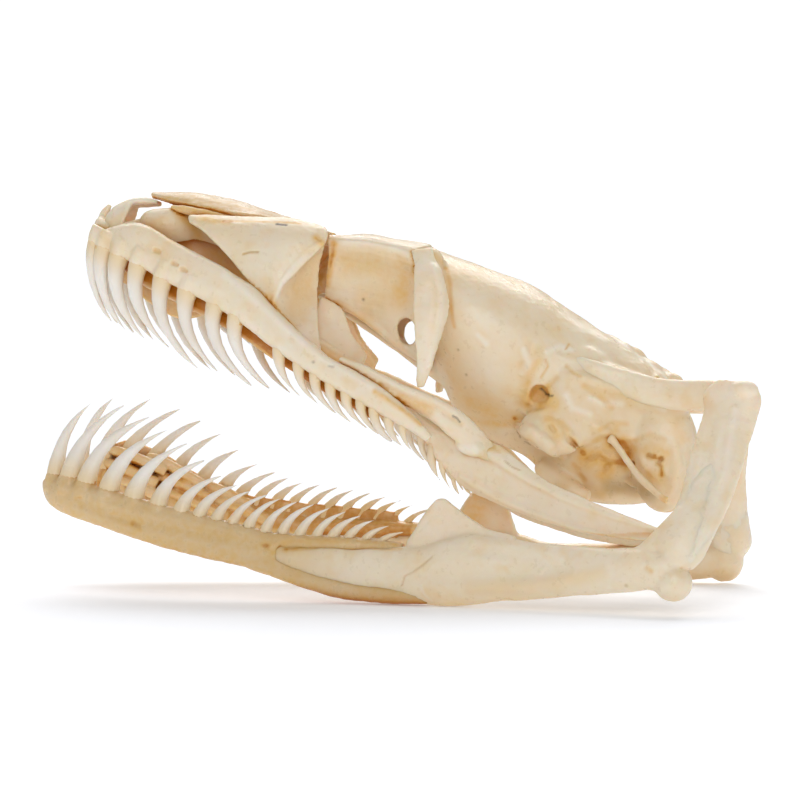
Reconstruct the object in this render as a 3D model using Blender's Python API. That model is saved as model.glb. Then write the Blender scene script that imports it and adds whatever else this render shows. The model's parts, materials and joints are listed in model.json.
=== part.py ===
# Skull of a large python, mouth open, standing on its two lower jaws.
#
# The snout points to -X and the left side of the head is -Y. The bones of the head are
# laid out in a frame of their own (mirror plane Y = 0) and then turned a few degrees
# over the lower jaws, because the dried skull sits slightly askew on them. All the
# section tables are in millimetres.

import bpy
import bmesh
import math
from mathutils import Vector, Matrix, Euler

# Driving dimensions
MM = 0.001
SUTURE_GAP = 0.3
TOOTH_SIDES = 5
SMALL_TOOTH = 0.8
TOOTH_BOW = 0.13
TOOTH_SWELL = 1.25
HEAD_TURN = (-5.0, -0.5, 5.0)
HEAD_PIVOT = (0.0, 0.0, 32.0)
RIGHT_JAW_DROP = 3.3
RIGHT_JAW_STRETCH = 2.2
RIGHT_PTERYGOID_DROP = 1.5
FLOOR_CUT = 0.7
FRONTAL_THICK = 0.9
NASAL_THICK = 0.8
PREFRONTAL_THICK = 0.8
POSTORBITAL_THICK = 1.3
SIDES = {"left": -1, "right": 1}

# Start from an empty file
for old in list(bpy.data.objects):
    bpy.data.objects.remove(old, do_unlink=True)


# Materials
def bone(name, color, rough):
    mat = bpy.data.materials.new(name)
    mat.use_nodes = True
    shader = mat.node_tree.nodes["Principled BSDF"]
    shader.inputs["Base Color"].default_value = (*color, 1.0)
    shader.inputs["Roughness"].default_value = rough
    return mat


PALE = (0.80, 0.69, 0.53)
WARM = (0.74, 0.60, 0.40)


# Building helpers
def head(point):
    # From the head's own frame to the frame of the lower jaws.
    turn = Euler([math.radians(a) for a in HEAD_TURN], "XYZ").to_matrix()
    pivot = Vector(HEAD_PIVOT)
    return turn @ (Vector(point) - pivot) + pivot


def jaw(point, side):
    # The right lower jaw reaches a little further back and hangs lower there.
    x, y, z = point
    if side > 0 and x > 6.0:
        z -= RIGHT_JAW_DROP * (x - 6.0) / 42.0
    if side > 0 and x > -30.0:
        x += RIGHT_JAW_STRETCH * (x + 30.0) / 78.0
    return Vector((x, y, z))


def same(point):
    return Vector(point)


def add_tube(bm, path, sides, up, place, power=1.0):
    # A bar through rows of (x, y, z, half width, half height), closed at both ends.
    points = [Vector(row[:3]) for row in path]
    rings = []
    last = len(points) - 1
    for i, row in enumerate(path):
        along = points[min(i + 1, last)] - points[max(i - 1, 0)]
        along.normalize()
        side = along.cross(Vector(up)).normalized()
        top = side.cross(along).normalized()
        ring = []
        for k in range(sides):
            a = 2.0 * math.pi * (k + 0.5) / sides
            c = math.copysign(abs(math.cos(a)) ** power, math.cos(a))
            s = math.copysign(abs(math.sin(a)) ** power, math.sin(a))
            ring.append(bm.verts.new(place(points[i] + side * row[3] * c + top * row[4] * s)))
        rings.append(ring)
    join_rings(bm, rings)


def join_rings(bm, rings):
    count = len(rings[0])
    for low, high in zip(rings, rings[1:]):
        for k in range(count):
            n = (k + 1) % count
            bm.faces.new((low[k], low[n], high[n], high[k]))
    bm.faces.new(list(reversed(rings[0])))
    bm.faces.new(rings[-1])


def add_sheet(bm, rows, thick, place):
    # A curved plate through a grid of points, with its thickness split to both sides.
    grid = [[Vector(p) for p in row] for row in rows]
    n, m = len(grid), len(grid[0])
    front, back = [], []
    for i in range(n):
        front.append([])
        back.append([])
        for j in range(m):
            du = grid[min(i + 1, n - 1)][j] - grid[max(i - 1, 0)][j]
            dv = grid[i][min(j + 1, m - 1)] - grid[i][max(j - 1, 0)]
            normal = du.cross(dv).normalized() * thick * 0.5
            front[i].append(bm.verts.new(place(grid[i][j] + normal)))
            back[i].append(bm.verts.new(place(grid[i][j] - normal)))
    for i in range(n - 1):
        for j in range(m - 1):
            bm.faces.new((front[i][j], front[i + 1][j], front[i + 1][j + 1], front[i][j + 1]))
            bm.faces.new((back[i][j], back[i][j + 1], back[i + 1][j + 1], back[i + 1][j]))
    for i in range(n - 1):
        bm.faces.new((front[i][0], back[i][0], back[i + 1][0], front[i + 1][0]))
        bm.faces.new((front[i][-1], front[i + 1][-1], back[i + 1][-1], back[i][-1]))
    for j in range(m - 1):
        bm.faces.new((front[0][j], front[0][j + 1], back[0][j + 1], back[0][j]))
        bm.faces.new((front[-1][j], back[-1][j], back[-1][j + 1], front[-1][j + 1]))


def add_tooth(bm, root, bend, tip, radius, place):
    # A hooked cone along a curve from the root, bent by the middle point, to the tip.
    root, bend, tip = Vector(root), Vector(bend), Vector(tip)
    sides = TOOTH_SIDES if radius > SMALL_TOOTH else TOOTH_SIDES - 1
    rings = []
    for t, r in ((0.0, 1.0), (0.38, 0.80), (0.72, 0.46)):
        at = root * (1 - t) ** 2 + bend * 2 * t * (1 - t) + tip * t * t
        along = ((bend - root) * (1 - t) + (tip - bend) * t).normalized()
        side = along.cross(Vector((0.3, 1.0, 0.1))).normalized()
        top = side.cross(along)
        ring = []
        for k in range(sides):
            a = 2.0 * math.pi * k / sides
            ring.append(bm.verts.new(place(at + (side * math.cos(a) + top * math.sin(a)) * radius * r)))
        rings.append(ring)
    point = bm.verts.new(place(tip))
    for low, high in zip(rings, rings[1:]):
        for k in range(sides):
            n = (k + 1) % sides
            bm.faces.new((low[k], low[n], high[n], high[k]))
    for k in range(sides):
        bm.faces.new((rings[-1][k], rings[-1][(k + 1) % sides], point))
    bm.faces.new(list(reversed(rings[0])))


def add_ball(bm, center, size, place, segments=8, rings=5):
    made = bmesh.ops.create_uvsphere(bm, u_segments=segments, v_segments=rings, radius=1.0)
    for v in made["verts"]:
        v.co = place(Vector(c + a * b for c, a, b in zip(center, v.co, size)))


def to_object(bm, name):
    bmesh.ops.recalc_face_normals(bm, faces=bm.faces)
    mesh = bpy.data.meshes.new(name)
    bm.to_mesh(mesh)
    bm.free()
    obj = bpy.data.objects.new(name, mesh)
    bpy.context.scene.collection.objects.link(obj)
    return obj


def boolean(obj, other, operation, own_overlaps=False):
    # Join or cut two meshes and keep the result as the mesh of the first one.
    mod = obj.modifiers.new("step", "BOOLEAN")
    mod.operation = operation
    mod.solver = "EXACT"
    mod.use_self = own_overlaps
    mod.object = other
    graph = bpy.context.evaluated_depsgraph_get()
    mesh = bpy.data.meshes.new_from_object(obj.evaluated_get(graph))
    obj.modifiers.clear()
    obj.data = mesh
    bpy.data.objects.remove(other, do_unlink=True)


def fuse(name, bodies):
    # Each body is a function that draws one closed shape into a mesh.
    first = bmesh.new()
    bodies[0](first)
    obj = to_object(first, name)
    if len(bodies) > 1:
        rest = bmesh.new()
        for body in bodies[1:]:
            body(rest)
        boolean(obj, to_object(rest, name + "_rest"), "UNION", own_overlaps=True)
    return obj


def islands(bm):
    seen, groups = set(), []
    for start in bm.verts:
        if start in seen:
            continue
        group, queue = [], [start]
        seen.add(start)
        while queue:
            v = queue.pop()
            group.append(v)
            for e in v.link_edges:
                w = e.other_vert(v)
                if w not in seen:
                    seen.add(w)
                    queue.append(w)
        groups.append(group)
    return groups


def clean(obj):
    # Weld, drop crumbs left by cuts and turn all faces outward.
    bm = bmesh.new()
    bm.from_mesh(obj.data)
    bmesh.ops.remove_doubles(bm, verts=bm.verts, dist=0.003)
    bmesh.ops.dissolve_degenerate(bm, edges=bm.edges, dist=0.002)
    groups = islands(bm)
    if len(groups) > 1:
        best = max(groups, key=len)
        keep = set(best)
        bmesh.ops.delete(bm, geom=[v for v in bm.verts if v not in keep], context="VERTS")
    bmesh.ops.recalc_face_normals(bm, faces=bm.faces)
    bm.to_mesh(obj.data)
    bm.free()


def box_of(obj):
    xs = [v.co for v in obj.data.vertices]
    low = Vector(min(c[i] for c in xs) for i in range(3))
    high = Vector(max(c[i] for c in xs) for i in range(3))
    return low, high


def trim(obj, neighbours, gap=SUTURE_GAP):
    # Cut away what comes closer to a neighbour than the suture gap.
    for other in neighbours:
        low, high = box_of(obj)
        low2, high2 = box_of(other)
        if any(low[i] > high2[i] + gap or low2[i] > high[i] + gap for i in range(3)):
            continue
        bm = bmesh.new()
        bm.from_mesh(other.data)
        bm.normal_update()
        moved = [v.co + v.normal * gap * min(v.calc_shell_factor(), 1.6) for v in bm.verts]
        for v, co in zip(bm.verts, moved):
            v.co = co
        boolean(obj, to_object(bm, "grown"), "DIFFERENCE")
        clean(obj)


def mix(path, x, column):
    # Value of one column of a path at a given x.
    rows = sorted(path)
    if x <= rows[0][0]:
        return rows[0][column]
    for a, b in zip(rows, rows[1:]):
        if x <= b[0]:
            t = (x - a[0]) / (b[0] - a[0])
            return a[column] * (1 - t) + b[column] * t
    return rows[-1][column]


def flip(rows, side):
    # Give a table that is written for positive y to one side of the head.
    return [(r[0], r[1] * side, *r[2:]) for r in rows]


parts = {}

# Braincase: parietal, ear region, occiput and skull base in one bone.
# Rows: x, top, height of the widest place, half width there, bottom, half width there
BRAINCASE = [
    (6.0, 56.2, 48.5, 10.6, 36.6, 3.0),
    (9.0, 55.0, 46.5, 12.4, 30.6, 3.6),
    (14.0, 53.2, 43.5, 12.6, 25.8, 4.0),
    (20.0, 50.8, 40.0, 11.6, 21.8, 4.6),
    (26.0, 47.3, 36.5, 10.2, 17.6, 5.2),
    (32.0, 43.2, 32.5, 9.4, 15.5, 5.6),
    (38.0, 39.4, 29.0, 8.6, 15.3, 5.0),
    (43.5, 35.6, 27.0, 6.8, 16.0, 3.6),
]
CREST = 0.12


def braincase_body(bm):
    rings = []
    for x, top, mid, wide, low, base in BRAINCASE:
        up, down = top - mid, mid - low
        half = [
            (wide * 0.22, top - up * CREST),
            (wide * 0.62, mid + up * 0.62),
            (wide * 0.92, mid + up * 0.28),
            (wide, mid - down * 0.10),
            (wide * 0.88, mid - down * 0.42),
            (base + (wide - base) * 0.42, low + down * 0.24),
            (base * 0.62, low + down * 0.04),
        ]
        ring = [(0.0, top)] + half + [(0.0, low)] + [(-y, z) for y, z in reversed(half)]
        rings.append([bm.verts.new(head((x, y, z))) for y, z in ring])
    join_rings(bm, rings)


def braincase_extra(bm):
    add_tube(bm, [
        (-13.0, 0.0, 49.6, 0.9, 0.7), (-2.0, 0.0, 43.8, 1.3, 1.0), (8.0, 0.0, 36.6, 2.2, 1.8),
    ], 6, (0, 0, 1), head)
    add_ball(bm, (47.0, 0.0, 22.5), (3.0, 2.6, 2.4), head)
    for s in (-1, 1):
        add_ball(bm, (29.0, 7.2 * s, 32.5), (7.0, 3.6, 8.2), head)
        add_ball(bm, (43.0, 6.0 * s, 23.5), (5.4, 3.8, 9.6), head)
        add_tube(bm, [
            (23.0, 3.2 * s, 20.0, 2.0, 1.6), (28.0, 5.4 * s, 17.6, 2.0, 1.4), (31.0, 6.4 * s, 16.4, 1.0, 0.9),
        ], 6, (0, 0, 1), head)


parts["braincase"] = fuse("braincase", [braincase_body, braincase_extra])
clean(parts["braincase"])

# Premaxilla: a small cross bar at the tip of the snout with a rising spike.
parts["premaxilla"] = fuse("premaxilla", [
    lambda bm: add_tube(bm, [
        (-46.6, -3.4, 59.6, 0.8, 0.9), (-48.2, -2.0, 60.2, 1.2, 1.3), (-48.6, 0.0, 60.4, 1.2, 1.5),
        (-48.2, 2.0, 60.2, 1.2, 1.3), (-46.6, 3.4, 59.6, 0.8, 0.9),
    ], 6, (0, 0, 1), head),
    lambda bm: add_tube(bm, [
        (-48.6, 0.0, 60.0, 1.0, 1.0), (-48.3, 0.0, 62.2, 0.7, 0.8), (-47.4, 0.0, 63.9, 0.3, 0.35),
    ], 6, (1, 0, 0), head),
])
clean(parts["premaxilla"])

# Upper jaw bar: x, y, centre height, half width, half height
MAXILLA = [
    (-48.6, 3.4, 58.3, 0.9, 0.9),
    (-45.6, 5.2, 57.9, 1.2, 2.1),
    (-41.6, 7.2, 57.0, 1.5, 3.2),
    (-36.0, 9.3, 54.0, 1.7, 3.1),
    (-30.6, 11.2, 51.3, 1.8, 3.1),
    (-24.2, 12.9, 47.6, 1.8, 3.0),
    (-17.8, 14.3, 42.2, 1.8, 2.4),
    (-10.9, 15.6, 36.9, 1.7, 1.9),
    (-3.0, 16.5, 32.5, 1.6, 1.9),
    (3.0, 16.9, 28.4, 1.3, 1.3),
    (6.4, 17.0, 25.4, 0.7, 0.6),
]
# Upper teeth: root x, root z, tip x, tip z, radius
UPPER_TEETH = [
    (-48.4, 58.2, -46.7, 44.8, 0.85),
    (-46.9, 57.4, -44.2, 43.3, 0.95),
    (-44.2, 56.0, -40.9, 41.9, 1.00),
    (-40.9, 54.4, -36.7, 40.4, 1.00),
    (-36.6, 52.2, -31.8, 37.0, 1.00),
    (-32.4, 50.0, -28.3, 36.4, 1.00),
    (-27.8, 47.8, -22.7, 34.1, 0.95),
    (-24.2, 45.8, -19.5, 33.6, 0.90),
    (-17.1, 40.6, -14.5, 32.3, 0.80),
    (-14.0, 38.0, -11.5, 31.0, 0.75),
    (-11.4, 36.2, -8.7, 29.6, 0.75),
    (-8.9, 34.8, -6.1, 28.0, 0.70),
    (-6.4, 33.2, -3.7, 27.2, 0.70),
    (-4.1, 31.9, -1.8, 26.4, 0.65),
    (-2.0, 30.6, 0.3, 25.1, 0.60),
    (0.4, 29.2, 1.9, 24.4, 0.55),
    (2.6, 27.9, 3.6, 23.6, 0.50),
]


def maxilla_teeth(bm, s):
    for x, z, tx, tz, r in UPPER_TEETH:
        y = mix(MAXILLA, x, 1)
        bend = (x - TOOTH_BOW * (z - tz), y * s, z * 0.52 + tz * 0.48)
        add_tooth(bm, (x, y * s, z), bend, (tx, (y - 0.8) * s, tz), r * TOOTH_SWELL, head)


# Lower edge of the head, inner row: palatine and pterygoid
PALATINE = [
    (-31.5, 5.0, 51.6, 0.8, 0.8),
    (-26.0, 6.0, 48.6, 1.4, 1.3),
    (-18.0, 7.4, 43.6, 1.5, 1.5),
    (-11.0, 8.4, 39.4, 1.5, 1.4),
    (-5.6, 9.0, 36.6, 1.1, 1.0),
]
PALATINE_TEETH = [
    (-29.5, 50.6, -26.5, 42.0, 0.80),
    (-25.8, 48.4, -22.6, 40.0, 0.80),
    (-21.8, 46.0, -18.8, 38.0, 0.75),
    (-17.6, 43.4, -14.8, 36.0, 0.70),
    (-13.4, 40.8, -10.8, 34.4, 0.65),
    (-9.2, 38.2, -7.0, 32.6, 0.60),
]
PTERYGOID = [
    (-4.4, 9.4, 35.8, 0.9, 0.9),
    (1.0, 10.0, 31.8, 1.3, 1.3),
    (6.0, 11.0, 27.0, 1.6, 1.9),
    (11.0, 12.4, 22.6, 1.6, 3.4),
    (15.4, 13.4, 20.6, 1.4, 4.3),
    (22.0, 15.2, 16.8, 1.3, 3.3),
    (30.0, 18.0, 13.6, 1.3, 2.7),
    (37.0, 20.6, 11.6, 1.2, 1.9),
    (43.0, 22.6, 10.2, 0.9, 1.0),
]
PTERYGOID_TEETH = [
    (-1.4, 32.8, 0.4, 27.6, 0.60),
    (1.0, 30.6, 2.8, 24.8, 0.60),
    (3.0, 28.6, 4.8, 22.2, 0.60),
    (5.0, 26.8, 6.4, 21.2, 0.60),
    (6.8, 24.8, 7.6, 18.9, 0.60),
    (8.6, 22.8, 9.2, 17.7, 0.55),
    (10.2, 21.2, 10.6, 16.8, 0.50),
    (11.8, 20.0, 12.2, 17.0, 0.45),
]


def inner_teeth(bm, s, path, table):
    for x, z, tx, tz, r in table:
        y = mix(path, x, 1)
        bend = (x - TOOTH_BOW * (z - tz), y * s, z * 0.52 + tz * 0.48)
        add_tooth(bm, (x, y * s, z), bend, (tx, (y - 0.4) * s, tz), r * TOOTH_SWELL, head)


def choanal_plate(bm, s):
    add_sheet(bm, [
        [(-13.5, 8.0 * s, 41.4), (-13.2, 6.6 * s, 45.0), (-12.2, 5.2 * s, 48.3)],
        [(-10.0, 8.4 * s, 39.4), (-9.6, 7.0 * s, 42.8), (-8.9, 5.6 * s, 46.4)],
        [(-7.4, 8.8 * s, 37.8), (-7.2, 7.8 * s, 40.0), (-7.1, 6.6 * s, 42.4)],
        [(-5.2, 9.0 * s, 36.8), (-5.0, 8.6 * s, 37.8), (-4.6, 7.8 * s, 38.6)],
    ], 1.0, head)


# Side plate in front of the eye: outer face and the wall turned to the eye socket
PREFRONTAL_FACE = [
    [(-33.4, 7.0, 61.3), (-33.2, 7.6, 60.9), (-33.0, 8.0, 60.5), (-32.8, 8.2, 60.2)],
    [(-29.8, 7.2, 61.2), (-29.8, 8.6, 60.4), (-29.8, 9.6, 59.4), (-29.8, 10.2, 58.2)],
    [(-25.6, 7.3, 61.1), (-25.2, 9.6, 59.6), (-24.8, 11.2, 56.9), (-24.5, 11.9, 52.6)],
    [(-20.8, 7.3, 60.9), (-20.2, 10.2, 58.9), (-20.0, 12.2, 54.5), (-19.8, 12.9, 46.4)],
    [(-16.4, 7.3, 60.6), (-15.8, 9.9, 58.9), (-16.0, 11.8, 55.8), (-18.8, 13.0, 48.6)],
    [(-11.4, 7.4, 59.2), (-10.9, 8.8, 58.5), (-10.7, 9.6, 57.6), (-11.2, 10.4, 56.3)],
]
PREFRONTAL_WALL = [
    [(-11.2, 10.6, 56.8), (-11.8, 9.6, 56.4), (-11.4, 8.6, 56.8)],
    [(-14.6, 11.8, 54.0), (-14.4, 9.6, 53.4), (-12.2, 7.8, 53.4)],
    [(-17.8, 12.6, 50.2), (-16.2, 10.2, 49.6), (-12.6, 7.6, 49.4)],
    [(-18.8, 13.0, 46.6), (-16.4, 11.4, 45.6), (-12.4, 9.6, 45.6)],
    [(-16.6, 13.6, 43.2), (-14.8, 12.6, 42.6), (-12.0, 11.4, 42.8)],
    [(-12.8, 13.0, 39.6), (-12.2, 12.6, 39.4), (-11.4, 12.2, 39.4)],
]
# Roof of the nose: one row across for each station, from the mid line outward
NASAL = [
    [(-40.4, 0.35, 65.4), (-40.4, 0.8, 65.3), (-40.3, 1.2, 65.1)],
    [(-36.6, 0.60, 65.5), (-36.6, 2.4, 65.0), (-36.4, 3.6, 64.0)],
    [(-32.0, 0.60, 65.1), (-31.9, 3.4, 64.3), (-31.6, 5.6, 62.9)],
    [(-26.0, 0.60, 63.9), (-26.0, 3.8, 63.0), (-26.0, 6.4, 61.7)],
    [(-20.0, 0.60, 61.9), (-20.0, 3.8, 61.3), (-20.0, 6.6, 60.9)],
    [(-14.4, 0.60, 59.9), (-14.2, 3.2, 59.7), (-14.4, 6.0, 59.4)],
    [(-11.4, 0.60, 58.6), (-11.8, 2.0, 58.7), (-12.6, 3.8, 58.7)],
]
# Roof and side wall over the eye socket, from the mid line outward and down
FRONTAL = [
    [(-11.0, 0.65, 57.6), (-11.0, 4.0, 57.8), (-10.6, 7.8, 57.5), (-10.8, 6.6, 54.0), (-11.2, 5.6, 51.0), (-11.6, 4.6, 48.4)],
    [(-5.6, 0.65, 57.8), (-5.6, 4.4, 58.1), (-5.2, 8.8, 57.0), (-5.4, 7.0, 53.2), (-5.6, 5.8, 49.0), (-5.8, 4.4, 45.0)],
    [(-0.4, 0.65, 57.0), (-0.4, 4.8, 57.4), (0.0, 9.4, 56.0), (-0.2, 7.4, 52.0), (-0.4, 6.0, 46.6), (-0.4, 4.4, 40.8)],
    [(5.2, 0.65, 56.2), (5.2, 5.0, 56.2), (3.4, 9.8, 54.8), (4.4, 8.0, 50.6), (4.8, 6.4, 44.8), (5.0, 4.6, 37.6)],
]
# Bar behind the eye socket, front edge to back edge for each height
POSTORBITAL = [
    [(3.8, 9.9, 54.9), (5.0, 10.2, 55.1), (6.2, 10.1, 55.2)],
    [(4.4, 11.2, 53.2), (5.6, 11.4, 53.4), (6.8, 11.0, 53.6)],
    [(4.2, 13.2, 50.6), (6.2, 13.4, 50.8), (8.0, 12.4, 51.2)],
    [(3.0, 14.6, 46.4), (6.0, 15.0, 46.6), (9.0, 13.6, 47.0)],
    [(2.7, 15.2, 43.6), (5.6, 15.6, 43.6), (8.4, 14.2, 43.6)],
    [(3.0, 15.4, 39.4), (5.2, 15.8, 39.4), (7.2, 14.8, 39.6)],
    [(3.8, 15.2, 35.6), (4.9, 15.4, 35.6), (5.8, 15.0, 35.8)],
    [(4.5, 14.9, 33.7), (4.8, 15.0, 33.7), (5.2, 14.9, 33.8)],
]
SEPTOMAXILLA = [
    (-47.2, 2.0, 61.6, 1.0, 0.5),
    (-45.9, 2.2, 63.0, 1.2, 0.6),
    (-43.6, 2.4, 64.0, 1.3, 0.7),
    (-41.2, 2.2, 64.3, 1.2, 0.7),
    (-39.4, 1.9, 64.2, 0.6, 0.35),
]
VOMER = [
    (-42.6, 3.2, 60.8, 0.9, 0.8),
    (-40.6, 3.4, 61.2, 1.7, 1.7),
    (-37.6, 3.4, 61.3, 1.9, 2.0),
    (-34.4, 3.2, 60.8, 1.7, 1.9),
    (-30.0, 2.6, 58.6, 1.3, 1.4),
    (-24.0, 1.9, 55.4, 1.0, 1.0),
    (-18.0, 1.5, 52.2, 0.7, 0.7),
]
ECTOPTERYGOID = [
    (-7.0, 14.9, 37.6, 1.0, 0.7),
    (-2.0, 15.6, 35.2, 1.2, 0.9),
    (3.0, 16.2, 32.4, 1.3, 1.3),
    (8.0, 16.2, 29.4, 1.4, 1.9),
    (11.6, 15.6, 26.9, 1.4, 2.1),
    (14.6, 14.6, 24.8, 1.0, 1.4),
]
SUPRATEMPORAL = [
    (27.6, 9.4, 39.4, 0.6, 0.8),
    (32.0, 10.4, 36.8, 0.9, 1.5),
    (38.0, 11.0, 34.0, 0.9, 1.9),
    (44.0, 11.8, 32.4, 0.9, 2.0),
    (50.0, 12.6, 31.8, 0.9, 1.8),
    (54.6, 13.2, 31.8, 0.7, 1.2),
]
# Jaw hanger in the frame of the lower jaws: x, y, z, half depth, half width
QUADRATE_LEFT = [
    (55.4, -11.0, 36.2, 2.8, 0.6),
    (55.4, -11.8, 34.0, 4.4, 1.0),
    (54.9, -13.0, 30.6, 4.0, 1.2),
    (54.0, -16.0, 25.0, 3.5, 1.4),
    (52.2, -19.6, 18.8, 3.5, 1.6),
    (50.4, -22.2, 14.6, 3.6, 2.4),
    (48.6, -24.0, 10.9, 3.4, 3.4),
    (48.2, -24.6, 9.2, 2.4, 3.0),
]
QUADRATE_RIGHT = [
    (51.0, 17.4, 33.2, 2.6, 0.6),
    (51.2, 17.8, 30.8, 3.6, 1.0),
    (51.0, 18.6, 27.2, 3.5, 1.2),
    (50.7, 20.2, 21.6, 3.3, 1.4),
    (50.5, 22.2, 15.6, 3.0, 1.6),
    (50.6, 23.8, 11.4, 3.2, 2.4),
    (50.4, 25.0, 7.9, 3.4, 3.4),
    (50.2, 25.4, 6.2, 2.4, 3.0),
]
STAPES = [(35.4, 8.8, 24.6, 0.4, 0.4), (39.0, 10.4, 19.6, 0.35, 0.35), (43.6, 12.6, 15.8, 0.35, 0.35)]

# Lower jaw, tooth-bearing bone: x, y, centre height, half width, half height
DENTARY = [
    (-57.3, 6.4, 18.7, 0.7, 0.8),
    (-56.2, 7.3, 17.7, 1.2, 1.9),
    (-54.2, 8.7, 17.0, 1.6, 2.4),
    (-49.0, 11.0, 15.9, 1.9, 2.6),
    (-41.0, 12.7, 13.4, 2.1, 3.3),
    (-30.0, 13.8, 10.9, 2.2, 3.3),
    (-21.0, 14.4, 9.0, 2.3, 3.2),
    (-16.6, 14.8, 8.1, 2.2, 3.1),
]
DENTARY_UPPER = [
    (-19.0, 14.4, 10.2, 1.6, 1.2),
    (-12.0, 14.9, 10.4, 1.6, 0.9),
    (-4.0, 15.5, 10.2, 1.5, 0.8),
    (3.6, 16.0, 9.7, 1.1, 0.6),
]
DENTARY_LOWER = [
    (-20.0, 14.8, 7.2, 1.8, 1.5),
    (-12.0, 15.6, 4.4, 1.7, 1.2),
    (-6.0, 16.2, 2.6, 1.6, 1.1),
    (0.6, 16.9, 1.6, 1.5, 1.2),
    (3.4, 17.2, 1.8, 1.2, 1.2),
]
# Lower teeth: base x, base z, tip x, tip z, radius
LOWER_TEETH = [
    (-55.7, 19.0, -49.6, 31.3, 1.20),
    (-52.6, 18.8, -43.7, 31.1, 1.15),
    (-49.6, 18.2, -39.1, 29.4, 1.15),
    (-45.6, 17.2, -35.9, 27.4, 1.15),
    (-41.2, 16.2, -32.5, 25.3, 1.10),
    (-37.0, 15.4, -29.5, 22.7, 1.05),
    (-33.2, 14.6, -26.6, 20.3, 0.95),
    (-30.2, 13.8, -23.9, 18.9, 0.85),
    (-27.4, 13.0, -21.4, 18.1, 0.80),
    (-24.7, 12.5, -19.0, 17.4, 0.75),
    (-22.0, 12.0, -16.4, 17.0, 0.75),
    (-19.2, 11.4, -13.8, 16.5, 0.75),
    (-16.4, 11.1, -11.2, 16.1, 0.70),
    (-13.6, 10.9, -8.5, 15.6, 0.70),
    (-10.8, 10.8, -5.8, 15.1, 0.65),
    (-8.2, 10.7, -3.4, 14.5, 0.65),
    (-5.6, 10.6, -1.0, 13.9, 0.60),
    (-3.0, 10.3, 1.2, 13.0, 0.55),
    (-0.6, 10.1, 3.4, 12.0, 0.50),
]
COMPOUND = [
    (-17.6, 15.2, 8.4, 0.5, 0.5),
    (-12.0, 15.7, 7.4, 1.2, 1.7),
    (-6.0, 16.3, 6.7, 1.7, 2.4),
    (2.0, 17.0, 6.2, 2.1, 2.9),
    (8.0, 17.8, 5.6, 2.4, 4.6),
    (14.0, 18.6, 6.6, 2.3, 5.6),
    (20.0, 19.6, 6.9, 2.1, 5.0),
    (28.0, 21.4, 6.9, 1.9, 4.2),
    (36.0, 23.2, 7.3, 2.0, 3.6),
    (43.0, 24.4, 7.4, 2.9, 3.4),
    (48.0, 25.0, 6.4, 3.3, 2.9),
    (50.4, 25.2, 6.0, 1.8, 1.9),
]
COMPOUND_RIGHT = COMPOUND[:5] + [
    (14.0, 18.6, 5.8, 2.3, 4.2),
    (20.0, 19.6, 5.4, 2.1, 3.1),
    (28.0, 21.4, 6.1, 1.9, 2.9),
    (36.0, 23.2, 7.0, 2.0, 2.9),
    (43.0, 24.4, 7.5, 2.9, 3.1),
] + COMPOUND[10:]
CORONOID = [
    [(4.6, 17.2, 8.6), (4.8, 16.8, 9.8), (5.0, 16.6, 10.4)],
    [(6.6, 17.6, 8.4), (7.0, 17.0, 12.0), (7.2, 16.6, 14.9)],
    [(9.6, 18.0, 8.4), (9.7, 17.2, 13.0), (9.8, 16.6, 17.5)],
    [(12.8, 18.4, 8.4), (12.7, 17.8, 12.6), (12.6, 17.2, 16.0)],
    [(17.0, 19.0, 8.4), (17.0, 18.6, 11.2), (17.0, 18.2, 13.2)],
    [(22.0, 19.8, 8.4), (22.0, 19.8, 10.6), (22.0, 19.6, 12.1)],
]
CORONOID_RIGHT = CORONOID[:3] + [
    [(12.2, 18.4, 7.4), (12.4, 17.8, 11.6), (12.8, 17.2, 15.4)],
    [(14.6, 18.8, 6.0), (14.8, 18.4, 7.6), (15.0, 18.0, 9.4)],
]


# The knob behind the left jaw joint
KNOB = (47.7, -24.9, 5.8)
KNOB_SIZE = (2.9, 2.6, 2.7)


def dentary_teeth(bm, s, place):
    for x, z, tx, tz, r in LOWER_TEETH:
        y = mix(DENTARY, x, 1) if x < -17.0 else mix(DENTARY_UPPER, x, 1)
        bend = (x + (tx - x) * 0.08, y * s, z + (tz - z) * 0.64)
        add_tooth(bm, (x, y * s, z), bend, (tx, (y - 0.6) * s, tz), r, place)


def sheet_side(bm, rows, thick, s, place):
    add_sheet(bm, [[(x, y * s, z) for x, y, z in row] for row in rows], thick, place)


def tube_side(bm, path, sides, s, place, up=(0, 0, 1), power=1.0):
    add_tube(bm, flip(path, s), sides, up, place, power)


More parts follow.
